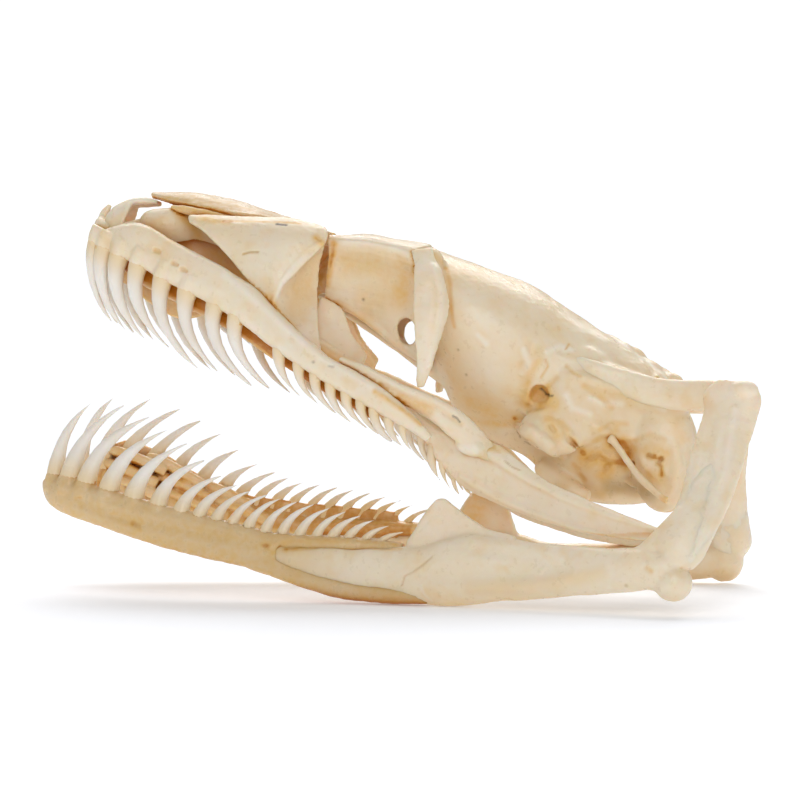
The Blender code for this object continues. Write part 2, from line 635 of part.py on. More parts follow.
for word, s in SIDES.items():
    def low(point, s=s):
        return jaw(point, s)

    def sag(point, s=s):
        # The right pterygoid hangs lower behind its teeth.
        x, y, z = point
        ease = min(max((x - 8.0) / 10.0, 0.0), 1.0) if s > 0 else 0.0
        return head((x, y, z - RIGHT_PTERYGOID_DROP * ease))

    parts["maxilla_" + word] = fuse("maxilla_" + word, [
        lambda bm: tube_side(bm, MAXILLA, 8, s, head, power=0.8),
        lambda bm: maxilla_teeth(bm, s),
    ])
    parts["palatine_" + word] = fuse("palatine_" + word, [
        lambda bm: tube_side(bm, PALATINE, 6, s, head),
        lambda bm: inner_teeth(bm, s, PALATINE, PALATINE_TEETH),
        lambda bm: choanal_plate(bm, s),
    ])
    parts["pterygoid_" + word] = fuse("pterygoid_" + word, [
        lambda bm: tube_side(bm, PTERYGOID, 8, s, sag, power=0.8),
        lambda bm: inner_teeth(bm, s, PTERYGOID, PTERYGOID_TEETH),
    ])
    parts["ectopterygoid_" + word] = fuse("ectopterygoid_" + word, [
        lambda bm: tube_side(bm, ECTOPTERYGOID, 8, s, head),
    ])
    parts["prefrontal_" + word] = fuse("prefrontal_" + word, [
        lambda bm: sheet_side(bm, PREFRONTAL_FACE, PREFRONTAL_THICK, s, head),
        lambda bm: sheet_side(bm, PREFRONTAL_WALL, PREFRONTAL_THICK, s, head),
    ])
    parts["nasal_" + word] = fuse("nasal_" + word, [
        lambda bm: sheet_side(bm, NASAL, NASAL_THICK, s, head),
    ])
    parts["frontal_" + word] = fuse("frontal_" + word, [
        lambda bm: sheet_side(bm, FRONTAL, FRONTAL_THICK, s, head),
    ])
    parts["postorbital_" + word] = fuse("postorbital_" + word, [
        lambda bm: sheet_side(bm, POSTORBITAL, POSTORBITAL_THICK, s, head),
    ])
    parts["septomaxilla_" + word] = fuse("septomaxilla_" + word, [
        lambda bm: tube_side(bm, SEPTOMAXILLA, 6, s, head),
    ])
    parts["vomer_" + word] = fuse("vomer_" + word, [
        lambda bm: tube_side(bm, VOMER, 8, s, head),
    ])
    parts["supratemporal_" + word] = fuse("supratemporal_" + word, [
        lambda bm: tube_side(bm, SUPRATEMPORAL, 6, s, head),
    ])
    quadrate = QUADRATE_LEFT if s < 0 else QUADRATE_RIGHT
    parts["quadrate_" + word] = fuse("quadrate_" + word, [
        lambda bm: add_tube(bm, quadrate, 8, (0, 1, 0), same, power=0.85),
    ])
    parts["stapes_" + word] = fuse("stapes_" + word, [
        lambda bm: tube_side(bm, STAPES, 6, s, head),
    ])
    parts["dentary_" + word] = fuse("dentary_" + word, [
        lambda bm: tube_side(bm, DENTARY, 8, s, low, power=0.85),
        lambda bm: tube_side(bm, DENTARY_UPPER, 6, s, low),
        lambda bm: tube_side(bm, DENTARY_LOWER, 6, s, low),
        lambda bm: dentary_teeth(bm, s, low),
    ])
    compound = [
        lambda bm: tube_side(bm, COMPOUND if s < 0 else COMPOUND_RIGHT, 8, s, low, power=0.85),
        lambda bm: sheet_side(bm, CORONOID if s < 0 else CORONOID_RIGHT, 1.6, s, low),
    ]
    if s < 0:
        compound.append(lambda bm: add_ball(bm, KNOB, KNOB_SIZE, same))
    parts["compound_" + word] = fuse("compound_" + word, compound)

for obj in parts.values():
    clean(obj)

# Open the sutures: each bone gives way to the neighbours that are named after it.
YIELDS = [
    ("supratemporal", ["braincase"]),
    ("quadrate", ["supratemporal_", "braincase"]),
    ("stapes", ["braincase", "quadrate_", "supratemporal_"]),
    ("compound", ["quadrate_"]),
    ("dentary", ["compound_"]),
    ("maxilla", ["premaxilla"]),
    ("nasal", []),
    ("frontal", ["braincase", "nasal_"]),
    ("postorbital", ["frontal_", "braincase"]),
    ("prefrontal", ["nasal_", "frontal_", "maxilla_"]),
    ("vomer", ["premaxilla", "maxilla_", "nasal_", "braincase"]),
    ("septomaxilla", ["premaxilla", "vomer_", "nasal_", "maxilla_"]),
    ("pterygoid", ["braincase", "quadrate_", "compound_", "maxilla_", "stapes_"]),
    ("palatine", ["pterygoid_", "maxilla_", "prefrontal_", "frontal_", "braincase", "vomer_"]),
    ("ectopterygoid", ["maxilla_", "pterygoid_", "postorbital_"]),
]
for stem, others in YIELDS:
    for word in SIDES:
        names = [o + word if o.endswith("_") else o for o in others]
        trim(parts[stem + "_" + word], [parts[n] for n in names])

# Cut small flats where the lower jaws stand, then set the skull on the floor plane.
for obj in parts.values():
    bm = bmesh.new()
    bm.from_mesh(obj.data)
    if min(v.co.z for v in bm.verts) < FLOOR_CUT:
        cut = bmesh.ops.bisect_plane(
            bm, geom=bm.verts[:] + bm.edges[:] + bm.faces[:], dist=0.001,
            plane_co=(0, 0, FLOOR_CUT), plane_no=(0, 0, 1), clear_inner=True)
        rim = [g for g in cut["geom_cut"] if isinstance(g, bmesh.types.BMEdge)]
        bmesh.ops.holes_fill(bm, edges=rim, sides=0)
        bmesh.ops.recalc_face_normals(bm, faces=bm.faces)
    bm.to_mesh(obj.data)
    bm.free()

low = Vector(min(v.co[i] for o in parts.values() for v in o.data.vertices) for i in range(3))
high = Vector(max(v.co[i] for o in parts.values() for v in o.data.vertices) for i in range(3))
shift = Vector((-(low.x + high.x) / 2, -(low.y + high.y) / 2, -low.z))
for name, obj in parts.items():
    obj.data.transform(Matrix.Scale(MM, 4) @ Matrix.Translation(shift))
    color = WARM if name.startswith(("braincase", "palatine", "vomer", "stapes", "dentary")) else PALE
    obj.data.materials.clear()
    obj.data.materials.append(bone("bone_" + name, color, 0.42))

total = 0
for name, obj in parts.items():
    tris = sum(len(p.vertices) - 2 for p in obj.data.polygons)
    total += tris
    print(name, tris)
print("triangles", total, "shift", [round(c, 3) for c in shift])
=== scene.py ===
# %% [markdown]
# # A python's skull with its mouth open
#
# A snake's skull is a kit of thin, loosely tied bones. This lesson dresses the plain
# solids of such a skull with real bone surfaces. Every bone is drawn again at a finer
# scale in the same place, then stained, pitted and scratched like a dried one.
# The plain solids come first, because they fix the place and size of everything.

# %% Load the plain solids
import bpy
import bmesh
import json
import math
import numpy as np
from mathutils import Vector, Matrix, Euler
from mathutils.bvhtree import BVHTree
from mathutils.kdtree import KDTree


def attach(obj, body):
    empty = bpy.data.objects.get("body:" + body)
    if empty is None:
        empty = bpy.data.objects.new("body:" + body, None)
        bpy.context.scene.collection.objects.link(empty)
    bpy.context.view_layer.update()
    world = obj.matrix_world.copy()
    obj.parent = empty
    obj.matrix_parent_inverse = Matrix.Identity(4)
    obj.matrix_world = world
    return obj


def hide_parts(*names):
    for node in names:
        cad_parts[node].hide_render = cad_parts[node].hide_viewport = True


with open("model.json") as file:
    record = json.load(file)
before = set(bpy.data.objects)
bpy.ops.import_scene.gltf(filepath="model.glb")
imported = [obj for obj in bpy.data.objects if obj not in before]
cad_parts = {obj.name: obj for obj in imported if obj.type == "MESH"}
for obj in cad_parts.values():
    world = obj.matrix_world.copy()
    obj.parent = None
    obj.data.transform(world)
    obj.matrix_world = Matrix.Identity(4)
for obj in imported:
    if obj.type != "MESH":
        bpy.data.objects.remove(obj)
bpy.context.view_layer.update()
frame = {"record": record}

# %% [markdown]
# ## Two frames
#
# The section tables are in millimetres. The lower jaws are written down where they
# stand. The bones of the head are written in a frame of their own that is the same
# left and right, and are then turned a few degrees, because the dried head sits
# slightly askew on its jaws. The right lower jaw hangs lower at its back end.

# %% Place points of the head and of the jaws
MM = 0.001
TO_FLOOR = np.array((-0.819, -0.019175, -0.7))
FLOOR_LINE = 0.7
HEAD_PIVOT = np.array((0.0, 0.0, 32.0))
HEAD_TURN = np.array(Euler([math.radians(a) for a in (-5.0, -0.5, 5.0)], "XYZ").to_matrix())
# On the right the jaw drops and moves back, and the pterygoid sags: how much, from which
# x on, and over what length.
DROP, DROP_FROM, DROP_RUN = 3.3, 6.0, 42.0
SHIFT, SHIFT_FROM, SHIFT_RUN = 2.2, -30.0, 78.0
SAG, SAG_FROM, SAG_RUN = 1.5, 8.0, 10.0


def on_head(points):
    return (points - HEAD_PIVOT) @ HEAD_TURN.T + HEAD_PIVOT


def out_of_head(points):
    return (points - HEAD_PIVOT) @ HEAD_TURN + HEAD_PIVOT


def as_it_is(points):
    return points.copy()


def on_right_jaw(points):
    out = points.copy()
    x = points[:, 0]
    out[:, 2] -= np.where(x > DROP_FROM, DROP * (x - DROP_FROM) / DROP_RUN, 0.0)
    out[:, 0] += np.where(x > SHIFT_FROM, SHIFT * (x - SHIFT_FROM) / SHIFT_RUN, 0.0)
    return out


def on_right_pterygoid(points):
    out = points.copy()
    out[:, 2] -= SAG * np.clip((points[:, 0] - SAG_FROM) / SAG_RUN, 0.0, 1.0)
    return on_head(out)


def place_of(stem, side):
    if stem in ("quadrate_left", "quadrate_right"):
        return as_it_is
    if stem.startswith(("dentary", "compound")):
        return on_right_jaw if side > 0 else as_it_is
    if stem.startswith("pterygoid") and side > 0:
        return on_right_pterygoid
    return on_head


# %% [markdown]
# ## The camera
#
# It looks from the left side, a little from the back and from slightly above, through a
# long lens, so the jaws hardly grow smaller with distance. It is set first because small
# marks, such as nerve holes, are found by looking through it: a sight line is followed
# until it meets the bone, and the mark stays on the bone from then on.

# %% Set the camera and its sight lines
AZIMUTH, ELEVATION = math.radians(11.0), math.radians(3.5)
DISTANCE = 700.0
FOCAL = 4340.0
AIM = np.array((0.0, 0.0, 32.0))
RIGHTWARD = np.array((math.cos(AZIMUTH), math.sin(AZIMUTH), 0.0))
BACKWARD = np.array((
    math.sin(AZIMUTH) * math.cos(ELEVATION), -math.cos(AZIMUTH) * math.cos(ELEVATION), math.sin(ELEVATION)))
UPWARD = np.cross(BACKWARD, RIGHTWARD)
EYE = AIM + BACKWARD * DISTANCE

lens = bpy.data.cameras.new("camera")
lens.sensor_width = 36.0
lens.lens = FOCAL / 800.0 * 36.0
lens.clip_start, lens.clip_end = 0.05, 20.0
camera = bpy.data.objects.new("camera", lens)
camera.matrix_world = Matrix.Translation((EYE + TO_FLOOR) * MM) @ Matrix(
    np.array((RIGHTWARD, UPWARD, BACKWARD)).T.tolist()).to_4x4()
bpy.context.scene.collection.objects.link(camera)
bpy.context.scene.camera = camera


def sight_line(px, py):
    return -FOCAL * BACKWARD + (px - 400.0) * RIGHTWARD + (400.0 - py) * UPWARD


print("camera at", [round(c, 3) for c in camera.matrix_world.translation], "lens", round(lens.lens, 1))

# %% [markdown]
# ## Drawing a bar of bone
#
# Most of these bones are bars that swell and thin along their length. A few sections
# give the place and size; a smooth curve through them gives the sections between. Each
# section is a circle, squeezed to its size, and neighbours are bridged. Lofting keeps
# the long flowing lines that real jaws have, which a box or a sculpted ball wouldn't.


# %% Curves through sections, and the lofted bar
def through(rows, steps):
    # Points between the rows, on a curve that passes through each row.
    rows = np.array(rows, float)
    last = len(rows) - 1
    out = []
    for i in range(last):
        a, b, c, d = rows[max(i - 1, 0)], rows[i], rows[i + 1], rows[min(i + 2, last)]
        for t in np.arange(steps) / steps:
            out.append(0.5 * (2 * b + (c - a) * t + (2 * a - 5 * b + 4 * c - d) * t ** 2
                              + (3 * b - a - 3 * c + d) * t ** 3))
    return np.array(out + [rows[last]])


def add_section(bm, seat, sides, power, closed):
    # The rim of one squeezed circle; a power under 1 makes it boxier.
    made = bmesh.ops.create_circle(bm, cap_ends=closed, segments=sides, radius=1.0)
    for v in made["verts"]:
        x, y = (math.copysign(abs(c) ** power, c) for c in v.co.xy)
        v.co = seat @ Vector((x, y, 0.0))
    return list({e for v in made["verts"] for e in v.link_edges})


def add_bar(bm, rows, up=(0, 0, 1), sides=20, steps=4, power=1.0):
    # Rows of x, y, z, half width, half height.
    rows = through(rows, steps)
    along = np.gradient(rows[:, :3], axis=0)
    before = None
    for i, row in enumerate(rows):
        ahead = Vector(along[i]).normalized()
        side = ahead.cross(Vector(up)).normalized()
        top = side.cross(ahead)
        seat = Matrix((side * max(row[3], 0.15), top * max(row[4], 0.15), ahead)).transposed().to_4x4()
        seat.translation = row[:3]
        ring = add_section(bm, seat, sides, power, i in (0, len(rows) - 1))
        if before:
            bmesh.ops.bridge_loops(bm, edges=before + ring)
        before = ring


def left(rows):
    # The tables are written for the right side; y is turned round for the left.
    rows = np.array(rows, float)
    rows[..., 1] *= -1.0
    return rows


# %% [markdown]
# ## Drawing a plate of bone
#
# The roof and the side walls of the snout are plates, often under a millimetre thick.
# A flat grid is laid on a curved net of points and given its thickness by extruding it.


# %% The curved plate and the rounded lump
def add_plate(bm, rows, thick, steps=5):
    spots = through(rows, steps)
    spots = np.swapaxes(through(np.swapaxes(spots, 0, 1), steps), 0, 1)
    n, m = spots.shape[:2]
    sheet = bmesh.new()
    bmesh.ops.create_grid(sheet, x_segments=n - 1, y_segments=m - 1, size=1.0)
    for v in sheet.verts:
        i, j = round((v.co.x + 1.0) / 2.0 * (n - 1)), round((v.co.y + 1.0) / 2.0 * (m - 1))
        v.co = spots[i, j]
    sheet.normal_update()
    facing = [(v, v.normal.copy()) for v in sheet.verts]
    for v, normal in facing:
        v.co -= normal * thick / 2.0
    lookup = {v.co.to_tuple(5): normal for v, normal in facing}
    made = bmesh.ops.extrude_face_region(sheet, geom=sheet.faces[:])
    for v in [g for g in made["geom"] if isinstance(g, bmesh.types.BMVert)]:
        v.co += lookup[v.co.to_tuple(5)] * thick
    bmesh.ops.recalc_face_normals(sheet, faces=sheet.faces)
    flat = bpy.data.meshes.new("plate")
    sheet.to_mesh(flat)
    sheet.free()
    bm.from_mesh(flat)
    bpy.data.meshes.remove(flat)


def add_lump(bm, center, size, turn=(0, 0, 0)):
    seat = Matrix.LocRotScale(Vector(center), Euler([math.radians(a) for a in turn]), Vector(size))
    bmesh.ops.create_uvsphere(bm, u_segments=20, v_segments=14, radius=1.0, matrix=seat)


# %% [markdown]
# ## Growing the shapes together
#
# A real bone has no seams between its ridge, its plate and its joint knob. Drawing each
# as its own closed shape and then remeshing them all with small even cells, as a
# sculptor does with clay, fuses them. A few rounds of smoothing give soft creases.


# %% Fuse shapes into one bone, and cut real holes
def evaluated(obj):
    graph = bpy.context.evaluated_depsgraph_get()
    mesh = bpy.data.meshes.new_from_object(obj.evaluated_get(graph))
    old = obj.data
    bpy.data.objects.remove(obj)
    bpy.data.meshes.remove(old)
    return mesh


def as_object(bm, name):
    mesh = bpy.data.meshes.new(name)
    bm.to_mesh(mesh)
    bm.free()
    obj = bpy.data.objects.new(name, mesh)
    bpy.context.scene.collection.objects.link(obj)
    return obj


PLUMP = 0.07


def knit(bm, cell, rounds=3, holes=None):
    bmesh.ops.recalc_face_normals(bm, faces=bm.faces)
    obj = as_object(bm, "knit")
    fuse = obj.modifiers.new("fuse", "REMESH")
    fuse.mode, fuse.voxel_size = "VOXEL", cell
    drill = None
    if holes:
        bmesh.ops.recalc_face_normals(holes, faces=holes.faces)
        drill = as_object(holes, "drill")
        whole = drill.modifiers.new("fuse", "REMESH")
        whole.mode, whole.voxel_size = "VOXEL", cell
        cut = obj.modifiers.new("cut", "BOOLEAN")
        cut.operation, cut.solver, cut.object = "DIFFERENCE", "EXACT", drill
        again = obj.modifiers.new("again", "REMESH")
        again.mode, again.voxel_size = "VOXEL", cell
    soften = obj.modifiers.new("soften", "SMOOTH")
    soften.factor, soften.iterations = 0.5, rounds
    mesh = evaluated(obj)
    if drill:
        bpy.data.objects.remove(drill)
    # Smoothing shrinks a shape a little, so the surface is moved back out.
    swollen = [v.co + v.normal * PLUMP for v in mesh.vertices]
    mesh.vertices.foreach_set("co", [c for point in swollen for c in point])
    mesh.update()
    return mesh


# %% [markdown]
# ## What a bone carries with it
#
# Each drawn bone keeps three stains with its surface: amber, where fat and dried tissue
# stayed, and in some places painted shade; dark, for dirt and for painted shade in deep holes, cracks and
# shaded places; and pale, where the bone is bleached or worn, and in two places painted highlight.
# They are painted by rule, along traced lines, and the finish reads them later.


# %% A record for each bone
bones = {}
STAINS = ("amber", "dark", "pale")
ON_BONE = 0.001
ROOT_REACH, ROOT_AMBER = 3.0, 0.8


def unite(mesh, teeth):
    # Add the cones one after the other, so that no surface is left inside.
    jaw = bpy.data.objects.new("jaw", mesh)
    bpy.context.scene.collection.objects.link(jaw)
    for cone in teeth:
        add = jaw.modifiers.new("tooth", "BOOLEAN")
        add.operation, add.solver, add.object = "UNION", "MANIFOLD", cone
    mesh = evaluated(jaw)
    for cone in teeth:
        bpy.data.objects.remove(cone)
    return mesh


def keep(name, mesh, teeth=()):
    roots = None
    if teeth:
        roots = KDTree(len(mesh.vertices))
        for v in mesh.vertices:
            roots.insert(v.co, v.index)
        roots.balance()
        mesh = unite(mesh, teeth)
    count = len(mesh.vertices)
    co = np.zeros(count * 3)
    mesh.vertices.foreach_get("co", co)
    bone = {"mesh": mesh, "co": co.reshape(-1, 3), "tooth": np.zeros(count)}
    for stain in STAINS:
        bone[stain] = np.zeros(count)
    if roots:
        # What is no part of the bone's own surface is tooth, and amber near its root.
        gaps = np.array([roots.find(v.co)[2] for v in mesh.vertices])
        bone["tooth"] = (gaps > ON_BONE) * 1.0
        bone["amber"] = bone["tooth"] * np.clip(1.0 - gaps / ROOT_REACH, 0.0, 1.0) * ROOT_AMBER
    bones[name] = bone
    print(name, "faces", len(mesh.polygons))
    return bone


# %% Stains and dents along traced lines
def soak(bone, stain, amount):
    bone[stain] = np.clip(bone[stain] + amount, 0.0, 1.0)


def facing(bone):
    # Which way each point of the surface looks, after all moves so far.
    mesh = bone["mesh"]
    mesh.vertices.foreach_set("co", bone["co"].ravel())
    mesh.update()
    out = np.zeros(len(mesh.vertices) * 3)
    mesh.vertex_normals.foreach_get("vector", out)
    return out.reshape(-1, 3)


def closeness(co, line, width):
    # 1 on a line of points, falling softly to 0 at a width away from it.
    line = np.atleast_2d(np.array(line, float))
    best = np.full(len(co), 1e9)
    for a, b in zip(line, line[1:] if len(line) > 1 else line):
        run = b - a
        t = np.clip(((co - a) @ run) / max(run @ run, 1e-9), 0.0, 1.0)
        best = np.minimum(best, np.linalg.norm(co - a - t[:, None] * run, axis=1))
    return np.clip(1.0 - (best / width) ** 2, 0.0, 1.0) ** 2


def trace(name, pixels):
    # Where the sight lines through these image points meet the left or middle bone.
    bone = bones[name]
    if "tree" not in bone:
        bone["tree"] = BVHTree.FromPolygons(
            [Vector(c) for c in bone["co"]], [p.vertices[:] for p in bone["mesh"].polygons])
    local = place_of(name, -1) is on_head
    eye = out_of_head(EYE[None])[0] if local else EYE
    found = []
    for px, py in pixels:
        run = sight_line(px, py)
        run = run @ HEAD_TURN if local else run
        hit = bone["tree"].ray_cast(Vector(eye), Vector(run).normalized())[0]
        if hit is None:
            print("  no bone of", name, "at", px, py)
        else:
            found.append(hit)
    return np.array(found) if found else None


def mark(name, pixels, width, sink=0.0, both=False, **stains):
    # Press a line into the bone (a negative sink raises it) and stain it.
    bone = bones[name]
    line = trace(name, pixels)
    if line is None:
        return
    lines = [line, line * (1, -1, 1)] if both else [line]
    for path in lines:
        near = closeness(bone["co"], path, width)
        if sink:
            bone["co"] -= facing(bone) * (near * sink)[:, None]
        for stain, amount in stains.items():
            soak(bone, stain, near * amount)


# %% Ridges and pits that are cut into a bone
END_SHARE = 0.35


def carve(name, cell, ridges=(), pits=()):
    # Fuse ridges onto a symmetric bone and cut pits into it, on both sides.
    rough = bmesh.new()
    rough.from_mesh(bones[name]["mesh"])
    holes = bmesh.new()
    for into, table in ((rough, ridges), (holes, pits)):
        for pixels, width, lift in table:
            line = trace(name, pixels)
            if line is None:
                continue
            away = BACKWARD @ HEAD_TURN * lift
            for turn in ((1, 1, 1), (1, -1, 1)):
                if len(line) == 1:
                    add_lump(into, (line[0] + away) * turn, (width,) * 3)
                    continue
                rows = [(*((point + away) * turn), width, width) for point in line]
                rows[0] = (*rows[0][:3], width * END_SHARE, width * END_SHARE)
                rows[-1] = (*rows[-1][:3], width * END_SHARE, width * END_SHARE)
                add_bar(into, rows, up=(0.1, 1.0, 0.1), sides=12)
    keep(name, knit(rough, cell, 2, holes if pits else None))


# %% [markdown]
# ## Teeth
#
# A python has around a hundred teeth in six rows, all hooked backwards so that prey can
# only move inward. Each is a round cone on a swollen foot of bone. The foot is fused
# with the jaw, and the cone is added after that, so that its point stays needle sharp.

# %% One hooked tooth and its foot
TOOTH_PROFILE = (
    (0.06, 1.04), (0.13, 0.98), (0.21, 0.89), (0.31, 0.77), (0.43, 0.64), (0.56, 0.51),
    (0.69, 0.38), (0.80, 0.27), (0.89, 0.17), (0.96, 0.09), (1.0, 0.03),
)
FOOT_PROFILE = ((-0.06, 1.28), (0.0, 1.22), (0.05, 1.12), (0.09, 1.00), (0.14, 0.80))


def tooth_curve(root, bend, tip, t):
    return root * (1 - t) ** 2 + bend * 2 * t * (1 - t) + tip * t * t


def add_tooth(root, bend, tip, radius, sides=14):
    bm = bmesh.new()
    root, bend, tip = Vector(root), Vector(bend), Vector(tip)
    before = None
    for t, share in TOOTH_PROFILE:
        ahead = ((bend - root) * (1 - t) + (tip - bend) * t).normalized()
        side = ahead.cross(Vector((0.3, 1.0, 0.1))).normalized()
        across = side * radius * share
        upward = side.cross(ahead) * radius * share
        seat = Matrix((across, upward, ahead)).transposed().to_4x4()
        seat.translation = tooth_curve(root, bend, tip, t)
        ring = add_section(bm, seat, sides, 1.0, t in (TOOTH_PROFILE[0][0], 1.0))
        if before:
            bmesh.ops.bridge_loops(bm, edges=before + ring)
        before = ring
    bmesh.ops.recalc_face_normals(bm, faces=bm.faces)
    return as_object(bm, "cone")


def add_foot(bm, root, bend, tip, radius):
    root, bend, tip = Vector(root), Vector(bend), Vector(tip)
    rows = []
    for t, share in FOOT_PROFILE:
        at = tooth_curve(root, bend, tip, t)
        rows.append((*at, radius * share, radius * share))
    add_bar(bm, rows, up=(0.3, 1.0, 0.1), sides=14, steps=2)


def side_at(rows, x):
    # How far to the side a bar lies at this x.
    rows = np.array(sorted(rows.tolist()))
    return float(np.interp(x, rows[:, 0], rows[:, 1]))


# %% [markdown]
# ## Upper jaw
#
# The maxilla is the long outer bar with the largest upper teeth. Its outside is smooth
# with a few nerve holes; its inside is rough and keeps the deepest amber, partly stain and partly painted
# shade.

# %% Maxilla and its teeth
MAXILLA = left([
    (-48.6, 3.4, 58.3, 0.9, 0.9), (-45.6, 5.2, 57.9, 1.2, 2.1), (-41.6, 7.2, 57.0, 1.5, 3.2),
    (-36.0, 9.3, 54.0, 1.7, 3.1), (-30.6, 11.2, 51.3, 1.8, 3.1), (-24.2, 12.9, 47.6, 1.8, 3.0),
    (-17.8, 14.3, 42.2, 1.8, 2.4), (-10.9, 15.6, 36.9, 1.7, 1.9), (-3.0, 16.5, 32.5, 1.6, 1.9),
    (3.0, 16.9, 28.4, 1.3, 1.3), (6.4, 17.0, 25.4, 0.7, 0.6),
])
# Root x, root z, tip x, tip z, radius
UPPER_TEETH = [
    (-48.4, 58.2, -46.7, 44.8, 0.85), (-46.9, 57.4, -44.2, 43.3, 0.95),
    (-44.2, 56.0, -40.9, 41.9, 1.00),
    (-40.9, 54.4, -36.7, 40.4, 1.00), (-36.6, 52.2, -31.8, 37.0, 1.00),
    (-32.4, 50.0, -28.3, 36.4, 1.00),
    (-27.8, 47.8, -22.7, 34.1, 0.95), (-24.2, 45.8, -19.5, 33.6, 0.90),
    (-17.1, 40.6, -14.5, 32.3, 0.80),
    (-14.0, 38.0, -11.5, 31.0, 0.75), (-11.4, 36.2, -8.7, 29.6, 0.75), (-8.9, 34.8, -6.1, 28.0, 0.70),
    (-6.4, 33.2, -3.7, 27.2, 0.70), (-4.1, 31.9, -1.8, 26.4, 0.65), (-2.0, 30.6, 0.3, 25.1, 0.60),
    (0.4, 29.2, 1.9, 24.4, 0.55), (2.6, 27.9, 3.6, 23.6, 0.50),
]
SWELL = 1.66
BACK_BOW = 0.26
# Shares of root and tip in the height of the bend, and how deep the root is sunk
UPPER_BEND = (0.52, 0.48)
UPPER_SINK = 0.6


def upper_row(path, table, lean):
    # Root, bend and tip of each tooth: it bulges forward, then sweeps back.
    out = []
    for x, z, tx, tz, radius in table:
        y = side_at(path, x)
        bend = (x - BACK_BOW * (z - tz), y, z * UPPER_BEND[0] + tz * UPPER_BEND[1])
        out.append(((x, y, z + UPPER_SINK), bend, (tx, y + lean, tz), radius * SWELL))
    return out


def grow_teeth(jaw_shapes, row):
    for root, bend, tip, radius in row:
        add_foot(jaw_shapes, root, bend, tip, radius)
    return [add_tooth(root, bend, tip, radius) for root, bend, tip, radius in row]


shapes = bmesh.new()
add_bar(shapes, MAXILLA, power=0.85)
add_bar(shapes, [(x, y + 0.5, z + h * 0.72, w * 0.5, h * 0.34) for x, y, z, w, h in MAXILLA])
# A rough shelf hangs inside the teeth, where the spare ones grow.
SHELF = [(x + 1.0, y + 1.9, z - h - 0.6, 0.55, 0.85 * h) for x, y, z, w, h in MAXILLA[1:9]]
add_bar(shapes, SHELF)
cones = grow_teeth(shapes, upper_row(MAXILLA, UPPER_TEETH, 0.8))
maxilla = keep("maxilla_left", knit(shapes, 0.22), cones)
# The shelf is soaked amber, partly as dried tissue and partly as painted shade of the jaw's inside.
shelf_amber_and_shade = closeness(maxilla["co"], [row[:3] for row in SHELF], 3.1)
maxilla["amber"] += np.clip(shelf_amber_and_shade * 2.2, 0.0, 1.0)
print("upper outer teeth", len(cones))

# %% [markdown]
# The inner row sits on two bones: the palatine in front, with a plate that rises to the
# roof of the mouth, and the pterygoid behind, a long blade that reaches the jaw joint.

# %% Palatine and pterygoid
PALATINE = left([
    (-31.5, 5.0, 51.6, 0.8, 0.8), (-26.0, 6.0, 48.6, 1.4, 1.3), (-18.0, 7.4, 43.6, 1.5, 1.5),
    (-11.0, 8.4, 39.4, 1.5, 1.4), (-5.6, 9.0, 36.6, 1.1, 1.0),
])
PALATINE_TEETH = [
    (-29.5, 50.6, -26.5, 42.0, 0.80), (-25.8, 48.4, -22.6, 40.0, 0.80),
    (-21.8, 46.0, -18.8, 38.0, 0.75),
    (-17.6, 43.4, -14.8, 36.0, 0.70), (-13.4, 40.8, -10.8, 34.4, 0.65), (-9.2, 38.2, -7.0, 32.6, 0.60),
]
CHOANAL_PLATE = left([
    [(-13.5, 8.0, 41.4), (-13.2, 6.6, 45.0), (-12.2, 5.2, 48.3)],
    [(-10.0, 8.4, 39.4), (-9.6, 7.0, 42.8), (-8.9, 5.6, 46.4)],
    [(-7.4, 8.8, 37.8), (-7.2, 7.8, 40.0), (-7.1, 6.6, 42.4)],
    [(-5.2, 9.0, 36.8), (-5.0, 8.6, 37.8), (-4.6, 7.8, 38.6)],
])
PTERYGOID = left([
    (-4.4, 9.4, 35.8, 0.9, 0.9), (1.0, 10.0, 31.8, 1.3, 1.3), (6.0, 11.0, 27.0, 1.6, 1.9),
    (11.0, 12.4, 22.6, 1.6, 3.4), (15.4, 13.4, 20.6, 1.4, 4.3), (22.0, 15.2, 16.8, 1.3, 3.3),
    (30.0, 18.0, 13.6, 1.3, 2.7), (37.0, 20.6, 11.6, 1.2, 1.9), (43.0, 22.2, 10.2, 0.9, 1.1),
    (46.0, 22.8, 9.6, 0.6, 0.8),
])
PTERYGOID_TEETH = [
    (-1.4, 32.8, 0.4, 27.6, 0.60), (1.0, 30.6, 2.8, 24.8, 0.60), (3.0, 28.6, 4.8, 22.2, 0.60),
    (5.0, 26.8, 6.4, 21.2, 0.60), (6.8, 24.8, 7.6, 18.9, 0.60), (8.6, 22.8, 9.2, 17.7, 0.55),
    (10.2, 21.2, 10.6, 16.8, 0.50), (11.8, 20.0, 12.2, 17.0, 0.45),
]
shapes = bmesh.new()
add_bar(shapes, PALATINE)
add_plate(shapes, CHOANAL_PLATE, 0.95)
cones = grow_teeth(shapes, upper_row(PALATINE, PALATINE_TEETH, 0.4))
keep("palatine_left", knit(shapes, 0.22), cones)

shapes = bmesh.new()
add_bar(shapes, [(x, y, z, w * 0.72, h) for x, y, z, w, h in PTERYGOID], power=0.85)
# A rounded upper edge and a thin lower lip make the blade look folded from a strip.
add_bar(shapes, [(x, y + 0.1, z + h * 0.62, w, h * 0.36) for x, y, z, w, h in PTERYGOID])
add_bar(shapes, [(x, y - 0.5, z - h * 0.82, w * 0.55, h * 0.16) for x, y, z, w, h in PTERYGOID[3:]])
cones = grow_teeth(shapes, upper_row(PTERYGOID, PTERYGOID_TEETH, 0.4))
keep("pterygoid_left", knit(shapes, 0.24), cones)

# %% [markdown]
# ## Snout
#
# The tip of the snout is the small premaxilla. Behind it come two thin domes over the
# nose organs, the septomaxilla and vomer, then the nasals as a roof and the prefrontal
# as a side wall that turns inward in front of the eye.

